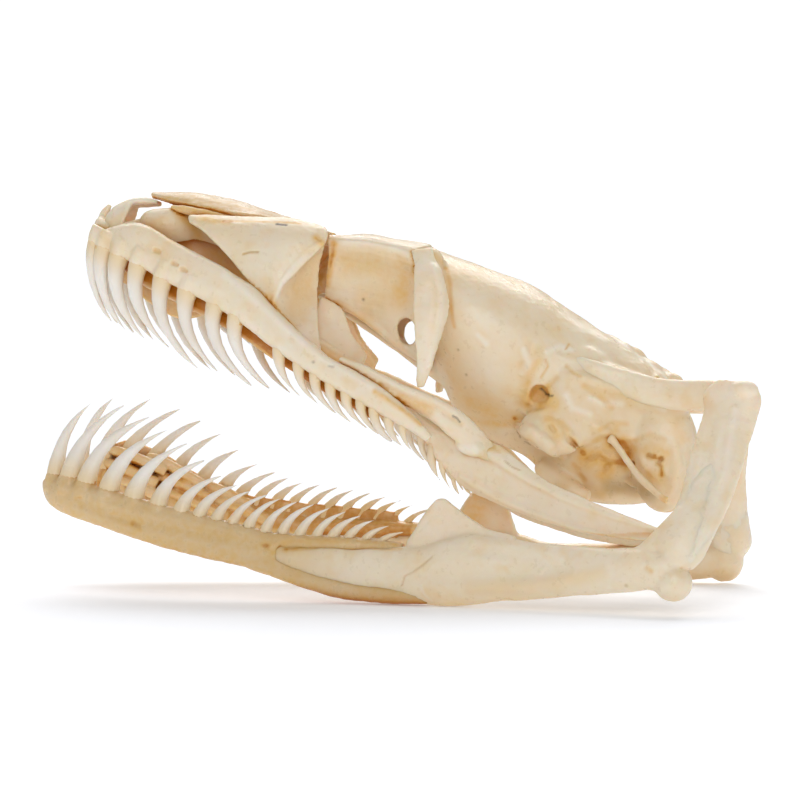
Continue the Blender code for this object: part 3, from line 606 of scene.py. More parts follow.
# %% Premaxilla, septomaxilla and vomer
shapes = bmesh.new()
add_bar(shapes, [
    (-46.6, -3.4, 59.6, 0.8, 0.9), (-48.2, -2.0, 60.2, 1.2, 1.3), (-48.6, 0.0, 60.4, 1.2, 1.5),
    (-48.2, 2.0, 60.2, 1.2, 1.3), (-46.6, 3.4, 59.6, 0.8, 0.9),
])
# A spike rises in the middle, and a flat tongue runs back under the nose.
SPIKE = [(-48.6, 0.0, 60.0, 1.2, 1.1), (-48.3, 0.0, 62.2, 0.7, 0.8), (-47.4, 0.0, 63.9, 0.3, 0.35)]
add_bar(shapes, SPIKE, up=(1, 0, 0))
add_bar(shapes, [(-48.2, 0.0, 60.4, 1.0, 0.5), (-45.0, 0.0, 60.6, 0.8, 0.4), (-42.0, 0.0, 61.2, 0.4, 0.3)])
keep("premaxilla", knit(shapes, 0.18))

SEPTOMAXILLA_SHELL = left([
    [(-47.5, 3.2, 59.6), (-47.6, 2.6, 60.9), (-47.4, 2.0, 61.9)],
    [(-46.4, 3.8, 59.2), (-46.4, 3.2, 61.6), (-46.0, 2.1, 63.1)],
    [(-45.0, 4.2, 59.0), (-44.9, 3.6, 61.9), (-44.4, 2.2, 64.1)],
    [(-44.4, 4.0, 61.0), (-44.2, 3.4, 62.9), (-43.8, 2.2, 64.3)],
    [(-43.8, 3.0, 63.4), (-43.5, 2.7, 64.0), (-43.1, 2.1, 64.4)],
])
shapes = bmesh.new()
add_plate(shapes, SEPTOMAXILLA_SHELL, 0.7)
add_bar(shapes, left([
    (-47.0, 2.0, 61.8, 0.5, 0.4), (-45.9, 2.1, 63.0, 0.9, 0.5), (-43.6, 2.2, 64.1, 1.1, 0.55),
    (-41.2, 2.1, 64.3, 1.0, 0.6), (-39.4, 1.9, 64.1, 0.4, 0.3),
]))
keep("septomaxilla_left", knit(shapes, 0.18))

shapes = bmesh.new()
add_bar(shapes, left([
    (-41.5, 3.3, 60.5, 0.8, 1.0), (-40.4, 3.6, 60.7, 1.6, 1.9), (-38.8, 3.8, 60.6, 2.1, 2.4),
    (-36.2, 3.7, 60.2, 2.0, 2.8), (-34.2, 3.1, 59.8, 1.5, 2.2), (-32.2, 2.4, 59.2, 0.8, 1.3),
    (-27.0, 1.9, 56.8, 0.5, 0.7), (-19.0, 1.5, 53.2, 0.4, 0.5),
]))
keep("vomer_left", knit(shapes, 0.2))

# %% [markdown]
# Behind the tooth row hangs a sheet that is no bone, so it is a piece of its own. It is
# painted shade: it closes the view between the snout bones with deep brown, where the
# inside of the snout lies in shade.

# %% A sheet of painted shade inside the nose
SHADE_SHEET = np.array([
    [(-47.2, -0.6, 59.6), (-47.4, -1.2, 56.4), (-47.8, -0.8, 52.6)],
    [(-44.0, -0.8, 60.0), (-43.8, -1.8, 55.0), (-43.9, -0.6, 50.4)],
    [(-40.5, -0.8, 59.6), (-40.4, -1.2, 54.4), (-40.7, -1.4, 47.9)],
    [(-36.2, -0.8, 58.8), (-36.0, -2.2, 52.4), (-36.1, -0.8, 45.4)],
    [(-31.4, -0.8, 58.2), (-31.2, -1.2, 52.0), (-31.3, -1.6, 46.0)],
    [(-27.6, -0.8, 57.6), (-27.4, -2.0, 53.2), (-27.6, -1.0, 48.8)],
    [(-22.0, -0.8, 56.4), (-22.0, -1.2, 53.4), (-22.0, -1.0, 50.8)],
    [(-15.0, -0.8, 54.4), (-15.0, -1.0, 52.6), (-15.0, -0.8, 50.6)],
])
shapes = bmesh.new()
add_plate(shapes, SHADE_SHEET, 0.5)
# Dark bars of painted shade also fill the slit under the edge of the nasals.
for way in (-1, 1):
    add_bar(shapes, [(-36.6, 4.9 * way, 63.1, 0.3, 0.3), (-34.6, 5.2 * way, 62.6, 0.5, 0.6),
                     (-31.0, 5.9 * way, 62.1, 0.6, 0.5), (-27.0, 6.5 * way, 61.2, 0.3, 0.3)])
lining = keep("lining", knit(shapes, 0.22, 2))
# The sheet and bars are amber all over: painted shade of the shaded inside.
lining["amber"] += 0.7

# %% Nasal roof and prefrontal wall
NASAL = left([
    [(-40.4, 0.35, 65.4), (-40.4, 0.8, 65.3), (-40.3, 1.2, 65.1)],
    [(-36.6, 0.60, 65.5), (-36.6, 2.4, 65.0), (-36.4, 3.6, 64.0)],
    [(-32.0, 0.60, 65.1), (-31.9, 3.4, 64.3), (-31.6, 5.6, 62.9)],
    [(-26.0, 0.60, 63.9), (-26.0, 3.8, 63.0), (-26.0, 6.4, 61.7)],
    [(-20.0, 0.60, 61.9), (-20.0, 3.8, 61.3), (-20.0, 6.6, 60.9)],
    [(-14.4, 0.60, 59.9), (-14.2, 3.2, 59.7), (-14.4, 6.0, 59.4)],
    [(-11.4, 0.60, 58.6), (-11.8, 2.0, 58.7), (-12.6, 3.8, 58.7)],
])
shapes = bmesh.new()
add_plate(shapes, NASAL, 0.75)
keep("nasal_left", knit(shapes, 0.18, 2))

PREFRONTAL_FACE = left([
    [(-33.4, 7.0, 61.3), (-33.2, 7.6, 60.9), (-33.0, 8.0, 60.5), (-32.8, 8.2, 60.2)],
    [(-29.8, 7.2, 61.2), (-29.8, 8.6, 60.4), (-29.8, 9.6, 59.4), (-29.8, 10.2, 58.2)],
    [(-25.6, 7.3, 61.1), (-25.2, 9.6, 59.6), (-24.8, 11.2, 56.9), (-24.5, 11.9, 52.6)],
    [(-20.8, 7.3, 60.9), (-20.2, 10.2, 58.9), (-20.0, 12.2, 54.5), (-19.8, 12.9, 46.4)],
    [(-16.4, 7.3, 60.6), (-15.8, 9.9, 58.9), (-16.0, 11.8, 55.8), (-18.8, 13.0, 48.6)],
    [(-11.4, 7.4, 59.2), (-10.9, 8.8, 58.5), (-10.7, 9.6, 57.6), (-11.2, 10.4, 56.3)],
])
PREFRONTAL_WALL = left([
    [(-11.2, 10.6, 56.8), (-11.8, 9.6, 56.4), (-11.4, 8.6, 56.8)],
    [(-14.6, 11.8, 54.0), (-14.4, 9.6, 53.4), (-12.2, 7.8, 53.4)],
    [(-17.8, 12.6, 50.2), (-16.2, 10.2, 49.6), (-12.6, 7.6, 49.4)],
    [(-18.8, 13.0, 46.6), (-16.4, 11.4, 45.6), (-12.4, 9.6, 45.6)],
    [(-16.6, 13.6, 43.2), (-14.8, 12.6, 42.6), (-12.0, 11.4, 42.8)],
    [(-12.8, 13.0, 39.6), (-12.2, 12.6, 39.4), (-11.4, 12.2, 39.4)],
])
shapes = bmesh.new()
add_plate(shapes, PREFRONTAL_FACE, 0.75)
add_plate(shapes, PREFRONTAL_WALL, 0.75)
# The raised rim of the eye socket, and the knob where it meets the frontal.
add_bar(shapes, left([
    (-11.2, 10.3, 56.9, 0.5, 0.5), (-14.4, 11.4, 54.9, 0.5, 0.5), (-17.2, 12.5, 51.2, 0.5, 0.5),
    (-18.9, 13.0, 47.0, 0.5, 0.5), (-17.2, 13.6, 44.0, 0.6, 0.6), (-13.6, 13.3, 40.4, 0.5, 0.5),
]), up=(0, 1, 0))
add_lump(shapes, (-12.6, -8.4, 58.4), (1.8, 1.3, 1.0))
keep("prefrontal_left", knit(shapes, 0.2))

# %% [markdown]
# ## Eye socket
#
# The frontal forms its roof and back wall, thin enough for light to glow through. The
# postorbital closes it behind with a flat curved strap.

# %% Frontal and postorbital
FRONTAL = left([
    [(-11.0, 0.65, 57.6), (-11.0, 4.0, 57.8), (-10.6, 7.8, 57.5), (-10.8, 6.6, 54.0), (-11.2, 5.6, 51.0),
     (-11.6, 4.6, 48.4)],
    [(-5.6, 0.65, 57.8), (-5.6, 4.4, 58.1), (-5.2, 8.8, 57.0), (-5.4, 7.0, 53.2), (-5.6, 5.8, 49.0),
     (-5.8, 4.4, 45.0)],
    [(-0.4, 0.65, 57.0), (-0.4, 4.8, 57.4), (0.0, 9.4, 56.0), (-0.2, 7.4, 52.0), (-0.4, 6.0, 46.6),
     (-0.4, 4.4, 40.8)],
    [(5.2, 0.65, 56.2), (5.2, 5.0, 56.2), (3.4, 9.8, 54.8), (4.4, 8.0, 50.6), (4.8, 6.4, 44.8),
     (5.0, 4.6, 37.6)],
])
shapes = bmesh.new()
add_plate(shapes, FRONTAL, 0.8)
add_bar(shapes, left([
    (-10.6, 7.7, 57.4, 0.5, 0.35), (-5.2, 8.8, 56.9, 0.6, 0.4),
    (0.0, 9.3, 55.9, 0.6, 0.4), (3.4, 9.6, 54.7, 0.5, 0.35),
]))
add_bar(shapes, left([
    (-11.4, 4.6, 48.8, 0.5, 0.5), (-5.8, 4.4, 45.4, 0.8, 0.6),
    (-0.4, 4.3, 41.4, 1.0, 0.8), (5.0, 4.4, 38.2, 1.1, 0.9),
]))
add_bar(shapes, left([
    (3.2, 9.5, 54.8, 0.7, 0.5), (4.3, 8.4, 51.6, 0.7, 0.5),
    (4.7, 7.0, 46.8, 0.6, 0.5), (5.0, 5.4, 40.6, 0.6, 0.5),
]), up=(1, 0, 0))
drill = bmesh.new()
add_lump(drill, (1.7, -5.6, 42.8), (1.6, 4.4, 2.3), (0, -12, 0))
keep("frontal_left", knit(shapes, 0.2, 3, drill))

POSTORBITAL = left([
    [(3.0, 9.6, 55.3), (4.6, 9.9, 55.5), (6.2, 9.9, 55.6)],
    [(3.6, 10.8, 53.2), (5.2, 11.4, 53.4), (6.8, 11.0, 53.6)],
    [(3.8, 12.8, 50.6), (6.0, 13.4, 50.8), (8.0, 12.4, 51.2)],
    [(3.8, 14.6, 46.4), (6.3, 15.0, 46.6), (9.0, 13.6, 47.0)],
    [(4.1, 15.2, 43.6), (6.2, 15.6, 43.6), (8.4, 14.2, 43.6)],
    [(4.4, 15.4, 39.4), (5.8, 15.8, 39.4), (7.2, 14.8, 39.6)],
    [(4.4, 15.2, 35.6), (5.1, 15.4, 35.6), (5.8, 15.0, 35.8)],
    [(4.5, 14.9, 33.7), (4.8, 15.0, 33.7), (5.2, 14.9, 33.8)],
])
shapes = bmesh.new()
add_plate(shapes, POSTORBITAL, 1.1)
keep("postorbital_left", knit(shapes, 0.2))

# %% [markdown]
# ## Braincase
#
# From the parietal dome to the joint with the neck this is one heavy bone. It is lofted
# in sections, with lumps for the ear capsule and the occiput, and the neck hole is cut.

# %% The dome of the braincase
# x, top, height of the widest place, half width there, bottom, half width there
BRAINCASE = [
    (6.0, 56.2, 48.5, 10.6, 36.6, 3.0), (9.0, 55.0, 46.5, 12.4, 30.6, 3.6),
    (14.0, 53.2, 43.5, 12.6, 26.2, 4.0),
    (20.0, 50.8, 40.0, 11.6, 23.2, 4.6), (26.0, 47.3, 36.5, 10.2, 17.6, 5.2),
    (32.0, 43.2, 32.5, 9.4, 15.5, 5.6),
    (38.0, 39.4, 29.0, 8.6, 15.3, 5.0), (43.5, 35.6, 27.0, 6.8, 16.0, 3.6),
]


def add_dome(bm, sections):
    before = None
    sections = through(sections, 4)
    for i, (x, top, mid, wide, low, base) in enumerate(sections):
        at_end = i in (0, len(sections) - 1)
        made = bmesh.ops.create_circle(bm, cap_ends=at_end, segments=48, radius=1.0)
        for v in made["verts"]:
            across, up = v.co.x, v.co.y
            if up > 0:
                reach = math.copysign(abs(across) ** 0.9, across) * wide
                v.co = (x, reach, mid + (top - mid) * up ** 0.95)
            else:
                width = base + (wide - base) * (1.0 - abs(up) ** 1.35)
                reach = math.copysign(min(1.0, abs(across) ** 0.72), across) * width
                v.co = (x, reach, mid + (mid - low) * up)
        ring = list({e for v in made["verts"] for e in v.link_edges})
        if before:
            bmesh.ops.bridge_loops(bm, edges=before + ring)
        before = ring


# %% Braincase
shapes = bmesh.new()
add_dome(shapes, BRAINCASE)
add_bar(shapes, [(-13.0, 0.0, 49.0, 0.8, 0.6), (-2.0, 0.0, 41.8, 1.0, 0.8), (3.0, 0.0, 38.4, 1.4, 1.0),
                 (8.0, 0.0, 35.6, 2.2, 1.8)])
add_lump(shapes, (47.0, 0.0, 22.5), (3.0, 2.6, 2.4))
for side in (-1, 1):
    add_lump(shapes, (29.0, 7.2 * side, 32.5), (7.0, 3.6, 8.2))
    add_lump(shapes, (5.6, 8.8 * side, 53.0), (2.4, 1.9, 3.0), (0, 10, 0))
    # A shelf under the supratemporal carries it flush with the side of the head.
    add_bar(shapes, [(24.0, 8.6 * side, 39.6, 1.0, 1.2), (31.0, 8.2 * side, 36.4, 2.0, 2.2),
                     (37.0, 7.6 * side, 33.4, 2.6, 2.9), (43.0, 7.4 * side, 31.8, 2.6, 2.8),
                     (46.4, 8.0 * side, 31.8, 1.6, 1.6)])
    add_lump(shapes, (42.6, 6.0 * side, 23.5), (5.2, 3.8, 9.6))
    add_lump(shapes, (25.0, 8.6 * side, 26.6), (5.0, 2.6, 3.2), (0, 24, 0))
    add_bar(shapes, [(23.0, 3.2 * side, 21.4, 2.0, 1.4), (28.0, 5.4 * side, 17.6, 2.0, 1.4),
                     (31.0, 6.4 * side, 16.4, 1.0, 0.9)])
# The rough crest that the neck muscles pulled on: x and top of each lump
CREST = ((34.4, 41.9), (36.4, 40.6), (38.3, 39.5), (40.6, 37.9), (42.6, 36.5), (44.6, 35.3))
for k, (x, top) in enumerate(CREST):
    place, size = (x, 0.5 * (-1) ** k, top - 0.35), (1.7, 1.2, 0.6 + 0.12 * (k % 3))
    add_lump(shapes, place, size, (0, 26 + 8 * (k % 3), 0))
drill = bmesh.new()
add_lump(drill, (46.4, 0.0, 28.0), (7.0, 3.0, 2.9))
keep("braincase", knit(shapes, 0.3, 4, drill))

# %% Ridges and pits of the braincase
# Image points as seen from the side, half width, and how far out
RIDGES = [
    ([(556, 372), (580, 378), (606, 386), (640, 396)], 1.1, -0.6),
    ([(516, 426), (528, 430), (541, 438), (552, 448), (562, 456)], 1.25, -0.35),
    ([(538, 334), (534, 350), (529, 368), (522, 384)], 0.6, -0.4),
    ([(546, 352), (560, 357), (574, 366)], 0.6, -0.4),
    ([(518, 402), (528, 412), (542, 413), (556, 407)], 0.6, -0.3),
    ([(562, 408), (590, 422), (612, 434), (640, 438)], 0.9, -0.55),
    ([(592, 472), (606, 477), (618, 472)], 0.6, -0.25), ([(622, 478), (636, 484),
     (650, 484)], 0.6, -0.3),
    ([(668, 430), (676, 456), (672, 486), (662, 510)], 0.9, -0.4),
    ([(640, 446), (644, 462), (656, 478), (668, 486)], 0.6, -0.25),
    ([(606, 340), (614, 345)], 0.6, 0.0), ([(624, 350), (633, 355)], 0.65, 0.0), ([(642, 362),
     (650, 368)], 0.6, 0.0),
    ([(656, 374), (664, 381)], 0.65, 0.0),
]
PITS = [
    ([(531, 402), (539, 394), (549, 397)], 1.6, 0.1), ([(538, 402), (546, 401)], 1.5, 0.1),
    ([(549, 424), (556, 434)], 1.3, 0.1),
    ([(562, 428), (570, 440), (579, 449)], 0.8, 0.15), ([(616, 450), (624, 460)], 2.1, 0.35),
    ([(600, 462), (612, 468)], 1.0, 0.3), ([(650, 456), (654, 457)], 0.6, 0.1),
     ([(661, 459)], 0.6, 0.1), ([(656, 464)], 0.4, 0.1),
    ([(661, 467), (662, 474)], 0.4, 0.0), ([(633, 463)], 0.7, 0.0), ([(580, 470)], 0.5, 0.2),
]
carve("braincase", 0.275, RIDGES, PITS)

# %% [markdown]
# ## Jaw suspension
#
# Snakes hang the lower jaw on a loose chain: the flat supratemporal on the back of the
# head, then the quadrate. The stapes is the thin ear rod between them.

# %% Supratemporal, quadrate, stapes and ectopterygoid
shapes = bmesh.new()
add_bar(shapes, left([
    (27.6, 8.9, 38.4, 0.7, 0.8), (32.0, 9.5, 36.3, 0.9, 1.6), (38.0, 9.8, 33.9, 0.9, 2.1),
    (44.0, 10.4, 32.5, 1.1, 2.3), (50.0, 12.0, 32.4, 1.1, 2.3), (54.6, 13.2, 32.4, 0.8, 1.6),
]), power=0.9)
keep("supratemporal_left", knit(shapes, 0.2))

QUADRATE_LEFT = [
    (55.4, -11.0, 36.2, 2.8, 0.6), (55.2, -11.8, 34.0, 4.6, 1.0), (54.8, -13.0, 30.6, 4.2, 1.2),
    (53.5, -16.0, 25.0, 4.1, 1.4), (52.0, -19.6, 18.8, 3.8, 1.6), (50.4, -22.2, 14.6, 3.6, 2.4),
    (48.6, -23.9, 10.9, 3.5, 2.7), (47.9, -24.4, 8.6, 2.6, 2.2),
]
QUADRATE_RIGHT = [
    (51.0, 17.4, 33.2, 2.6, 0.6), (51.2, 17.8, 30.8, 3.6, 1.0), (51.0, 18.6, 27.2, 3.5, 1.2),
    (50.7, 20.2, 21.6, 3.3, 1.4), (50.5, 22.2, 15.6, 3.0, 1.6), (50.6, 23.8, 11.4, 3.2, 2.4),
    (50.4, 24.9, 7.9, 3.5, 2.7), (50.0, 25.3, 5.8, 2.6, 2.2),
]
for name, rows in (("quadrate_left", QUADRATE_LEFT), ("quadrate_right", QUADRATE_RIGHT)):
    shapes = bmesh.new()
    add_bar(shapes, rows, up=(0, 1, 0), sides=24, power=0.9)
    head, foot = rows[1], rows[-2]
    add_lump(shapes, (head[0] + 1.6, head[1], head[2] + 0.8), (2.4, 1.4, 1.6))
    add_lump(shapes, (foot[0] - 0.6, foot[1], foot[2] + 0.6), (3.6, 2.5, 2.8))
    keep(name, knit(shapes, 0.24))

shapes = bmesh.new()
add_bar(shapes, left([
    (34.4, 8.4, 25.6, 0.7, 0.7), (35.4, 8.8, 24.6, 0.5, 0.5), (39.0, 10.4, 19.6, 0.38, 0.42),
    (42.4, 12.1, 16.5, 0.45, 0.5), (43.6, 12.6, 15.8, 0.4, 0.6),
]))
keep("stapes_left", knit(shapes, 0.12))

shapes = bmesh.new()
add_bar(shapes, left([
    (-8.0, 14.6, 38.0, 0.7, 0.4), (-4.0, 15.2, 36.2, 0.9, 0.8), (1.6, 15.9, 32.8, 0.9, 1.3),
    (7.9, 15.7, 29.7, 0.9, 1.8), (11.1, 15.0, 27.2, 0.8, 2.1), (13.6, 14.3, 25.0, 0.7, 1.9),
    (16.4, 13.8, 22.8, 0.6, 1.2), (20.0, 14.1, 20.4, 0.4, 0.5),
]), power=0.8)
add_lump(shapes, (12.6, -14.4, 24.4), (2.5, 0.9, 1.5), (0, 20, 0))
keep("ectopterygoid_left", knit(shapes, 0.2))

# %% [markdown]
# ## Lower jaw
#
# The dentary carries the long front teeth and forks round the compound bone behind it.
# Spare teeth lie on its inner side, parallel to the jaw, ready to replace lost ones.

# %% Sections of the dentary
DENTARY = left([
    (-57.4, 6.3, 18.7, 0.6, 0.7), (-56.3, 7.2, 17.7, 1.2, 1.9), (-54.2, 8.7, 16.7, 1.7, 2.75),
    (-49.0, 11.0, 15.5, 1.9, 3.0),
    (-41.0, 12.7, 13.4, 2.1, 3.3), (-30.0, 13.8, 10.9, 2.2, 3.3), (-21.0, 14.4, 9.0, 2.3, 3.2),
    (-16.6, 14.8, 8.1, 2.2, 3.1),
])
DENTARY_UPPER = left([
    (-19.0, 14.4, 10.0, 1.9, 1.5), (-12.0, 14.9, 10.0, 1.9, 1.25), (-4.0, 15.5, 9.8, 1.8, 1.15),
    (3.6, 16.0, 9.4, 1.3, 0.85),
])
DENTARY_LOWER = left([
    (-26.0, 14.2, 9.2, 1.6, 1.6), (-20.0, 14.8, 7.2, 2.0, 1.8), (-12.0, 15.6, 4.5, 2.0, 1.6),
    (-6.0, 16.2, 3.0, 2.0, 1.5),
    (0.6, 16.9, 2.3, 1.9, 1.4), (5.0, 17.4, 2.1, 1.8, 1.15), (10.0, 17.9, 2.0, 1.3, 0.8),
    (14.0, 18.4, 2.0, 0.5, 0.4),
])
print("rows", len(DENTARY), len(DENTARY_UPPER), len(DENTARY_LOWER))

# %% Lower teeth
# Root x, root z, tip x, tip z, radius
LOWER_TEETH = [
    (-55.6, 19.0, -49.6, 31.3, 0.95), (-52.6, 18.8, -43.7, 31.1, 1.15),
    (-49.6, 18.2, -39.1, 29.4, 1.15),
    (-45.6, 17.2, -35.9, 27.4, 1.15), (-41.2, 16.2, -32.5, 25.3, 1.10),
    (-37.0, 15.4, -29.5, 22.7, 1.05),
    (-33.2, 14.6, -26.6, 20.3, 0.95), (-30.2, 13.8, -23.9, 18.9, 0.85),
    (-27.4, 13.0, -21.4, 18.1, 0.80),
    (-24.7, 12.5, -19.0, 17.4, 0.75), (-22.0, 12.0, -16.4, 17.0, 0.75),
    (-19.2, 11.4, -13.8, 16.5, 0.75),
    (-16.4, 11.1, -11.2, 16.1, 0.70), (-13.6, 10.9, -8.5, 15.6, 0.70), (-10.8, 10.8, -5.8, 15.1, 0.65),
    (-8.2, 10.7, -3.4, 14.5, 0.65), (-5.6, 10.6, -1.0, 13.9, 0.60), (-3.0, 10.3, 1.2, 13.0, 0.55),
    (-0.6, 10.1, 3.4, 12.0, 0.50),
]
LOWER_SWELL = 1.5
# How far along in x and in z the bend lies, how deep the root is sunk, how far the tip
# leans inward, and where the row moves over to the upper fork
LOWER_BEND = (0.08, 0.64)
LOWER_SINK, LOWER_LEAN = 0.8, 0.6
FORK_X = -17.0


def lower_row():
    out = []
    for x, z, tx, tz, radius in LOWER_TEETH:
        y = side_at(DENTARY if x < FORK_X else DENTARY_UPPER, x)
        bend = (x + (tx - x) * LOWER_BEND[0], y, z + (tz - z) * LOWER_BEND[1])
        out.append(((x, y, z - LOWER_SINK), bend, (tx, y + LOWER_LEAN, tz), radius * LOWER_SWELL))
    return out


print("lower teeth", len(LOWER_TEETH))

# %% Dentary bones
# On the right side the inner wall stands high, and spare teeth lie against it.
INNER_WALL = left([
    [(-54.6, 9.0, 16.0), (-54.4, 9.0, 18.0), (-53.8, 9.0, 20.6)],
    [(-49.0, 10.8, 15.0), (-48.9, 10.8, 19.6), (-48.6, 10.9, 24.0)],
    [(-43.0, 11.9, 13.0), (-42.8, 11.9, 18.0), (-42.6, 12.0, 21.9)],
    [(-36.4, 12.7, 11.0), (-36.2, 12.7, 15.0), (-35.9, 12.8, 18.1)],
    [(-30.0, 13.3, 10.0), (-30.0, 13.3, 13.0), (-30.0, 13.4, 15.4)],
    [(-19.0, 14.0, 8.0), (-19.0, 14.0, 11.0), (-18.9, 14.1, 13.8)],
    [(-4.0, 15.2, 8.0), (-4.0, 15.2, 10.6), (-4.0, 15.3, 12.5)],
])
# Front and back of each spare tooth: x, z, x, z
SPARE_TEETH = [
    (-50.9, 22.8, -41.3, 19.2), (-44.4, 21.7, -35.0, 16.8), (-51.6, 20.7, -42.7, 17.2),
    (-43.0, 18.4, -33.8, 14.4),
    (-50.9, 18.4, -41.8, 14.7), (-41.8, 15.9, -32.1, 11.9), (-35.4, 16.8, -27.6, 13.4),
    (-33.4, 14.4, -25.0, 11.0),
]
for name in ("dentary_left", "dentary_right"):
    shapes = bmesh.new()
    add_bar(shapes, DENTARY, power=0.88)
    add_bar(shapes, DENTARY_UPPER, power=0.75)
    add_bar(shapes, DENTARY_LOWER, power=0.75)
    if name == "dentary_right":
        add_plate(shapes, INNER_WALL, 0.9)
        for k, (x, z, back_x, back_z) in enumerate(SPARE_TEETH):
            y = 1.4 + 0.5 * (k % 2) + side_at(DENTARY, x)
            add_bar(shapes, [
                (x - 0.4, y, z - 0.2, 0.2, 0.3), (x + 1.0, y + 0.1, z - 0.3, 0.6, 0.75),
                ((x + back_x) / 2, y, (z + back_z) / 2 + 0.3, 0.75, 0.85),
                (back_x, y - 0.6, back_z, 0.75, 0.9),
            ])
    cones = grow_teeth(shapes, lower_row())
    keep(name, knit(shapes, 0.22, 6), cones)

# %% Amber between the spare teeth
inside = bones["dentary_right"]
wall = closeness(inside["co"], [tuple(row[1]) for row in INNER_WALL], 4.0)
spares = 0
for x, z, back_x, back_z in SPARE_TEETH:
    ends = [(x, side_at(DENTARY, x) + 2.2, z), (back_x, side_at(DENTARY, back_x) + 2.2, back_z)]
    spares = spares + closeness(inside["co"], ends, 1.1)
tissue = closeness(inside["co"], [(-48.5, -9.5, 21.6), (-46.5, -9.6, 20.4)], 2.4)
between = 1.0 - 0.75 * np.clip(spares * 2.0, 0.0, 1.0)
inside["amber"] += np.clip(wall * 1.6, 0.0, 0.5) * between + tissue
print("points with amber", int((inside["amber"] > 0.1).sum()))

# %% Sections of the compound bones
COMPOUND = left([
    (-18.8, 15.0, 8.6, 1.5, 1.2), (-12.0, 15.7, 7.3, 1.85, 2.5), (-6.0, 16.3, 6.5, 2.0, 3.1),
    (2.0, 17.0, 6.1, 2.2, 3.6), (8.0, 17.8, 5.6, 2.4, 4.6), (14.0, 18.6, 6.6, 2.3, 5.6),
    (20.0, 19.6, 6.9, 2.1, 5.0), (28.0, 21.4, 6.9, 1.9, 4.2), (36.0, 23.2, 7.3, 2.0, 3.6),
    (42.0, 24.3, 7.7, 2.6, 3.3), (46.4, 24.8, 7.8, 2.6, 2.6), (48.8, 25.0, 7.8, 1.6, 1.7),
])
COMPOUND_RIGHT = np.concatenate((COMPOUND[:5], left([
    (14.0, 18.6, 5.8, 2.3, 4.2), (20.0, 19.6, 5.4, 2.1, 3.1), (28.0, 21.4, 6.1, 1.9, 2.9),
    (36.0, 23.2, 7.0, 2.0, 2.9), (43.0, 24.4, 7.5, 2.9, 3.1),
]), COMPOUND[10:]))
CORONOID = left([
    [(4.6, 17.2, 8.6), (4.8, 16.8, 9.8), (5.0, 16.6, 10.4)],
    [(6.6, 17.6, 8.4), (7.0, 17.0, 12.0), (7.2, 16.6, 14.9)],
    [(9.6, 18.0, 8.4), (9.7, 17.2, 13.0), (9.8, 16.6, 17.5)],
    [(12.8, 18.4, 8.4), (12.7, 17.8, 12.6), (12.6, 17.2, 16.0)],
    [(17.0, 19.0, 8.4), (17.0, 18.6, 11.2), (17.0, 18.2, 13.2)],
    [(22.0, 19.8, 8.4), (22.0, 19.8, 10.6), (22.0, 19.6, 12.1)],
])
CORONOID_RIGHT = np.concatenate((CORONOID[:3], left([
    [(12.2, 18.4, 7.4), (12.4, 17.8, 11.6), (12.8, 17.2, 15.4)],
    [(14.6, 18.8, 6.0), (14.8, 18.4, 7.6), (15.0, 18.0, 9.4)],
])))
print("rows", len(COMPOUND), len(COMPOUND_RIGHT))

# %% Compound bones of the lower jaw
# The sleeve's size against the quadrate's shaft, from its upper end down
SLEEVE = (0.80, 0.93, 1.03, 1.06, 1.06)
SPLINTER = left([(48.6, 25.0, 9.4, 1.2, 1.2), (50.2, 25.2, 10.8, 0.6, 0.5), (51.2, 25.2, 11.2, 0.2, 0.2)])
for name, rows, fin in (
        ("compound_left", COMPOUND, CORONOID), ("compound_right", COMPOUND_RIGHT, CORONOID_RIGHT)):
    shapes = bmesh.new()
    add_bar(shapes, rows, sides=24, power=0.8)
    add_plate(shapes, fin, 1.5)
    # The joint tissue has dried over the foot of the quadrate: a smooth sleeve climbs its
    # shaft, and a web runs forward from it.
    shaft = QUADRATE_LEFT
    if name == "compound_right":
        # This bone is mirrored and let down later, so the shaft is taken back to match.
        shaft = [(x - SHIFT * (x - SHIFT_FROM) / SHIFT_RUN, -y, z + DROP * (x - DROP_FROM) / DROP_RUN, w, h)
                 for x, y, z, w, h in QUADRATE_RIGHT]
    sleeve = [(*row[:3], row[3] * grow, row[4] * grow) for row, grow in zip(shaft[3:], SLEEVE)]
    add_bar(shapes, sleeve, up=(0, 1, 0), sides=24, power=0.9)
    foot = shaft[-2]
    add_lump(shapes, (foot[0] - 0.6, foot[1], foot[2] + 0.6), (3.8, 2.7, 3.0))
    add_bar(shapes, [
        (foot[0] + 1.2, foot[1] + 1.6, foot[2] + 5.0, 1.3, 2.4),
        (foot[0] - 2.2, foot[1] + 0.6, foot[2] + 1.4, 1.9, 2.4),
        (foot[0] - 5.4, foot[1], foot[2] - 1.0, 2.0, 1.9),
        (foot[0] - 9.0, foot[1] + 0.3, foot[2] - 2.0, 1.6, 1.2),
    ])
    if name == "compound_left":
        add_lump(shapes, (47.7, -25.3, 5.8), (3.0, 2.7, 2.85))
        add_lump(shapes, (45.2, -24.8, 7.4), (3.6, 2.7, 2.9))
    else:
        add_lump(shapes, (47.4, -25.0, 7.8), (3.1, 2.7, 3.6), (0, 20, 0))
        add_bar(shapes, SPLINTER)
    keep(name, knit(shapes, 0.26, 5))

# %% [markdown]
# ## Marks on the bones
#
# Nerve holes, creases, sutures and scratches, and a few marks of painted shade and painted
# highlight. Each row of a table is a short line of image points that is traced onto the bone,
# with a half width and a depth in millimetres and its stains. Rows of the braincase count
# for both sides, unless they say otherwise.

# %% Marks on the jaws
def mark_all(table, both=False):
    for name, rows in table.items():
        for pixels, width, depth, stains in rows:
            mark(name, pixels, width, depth, **{"both": both, **stains})
    print("marks on", ", ".join(table))


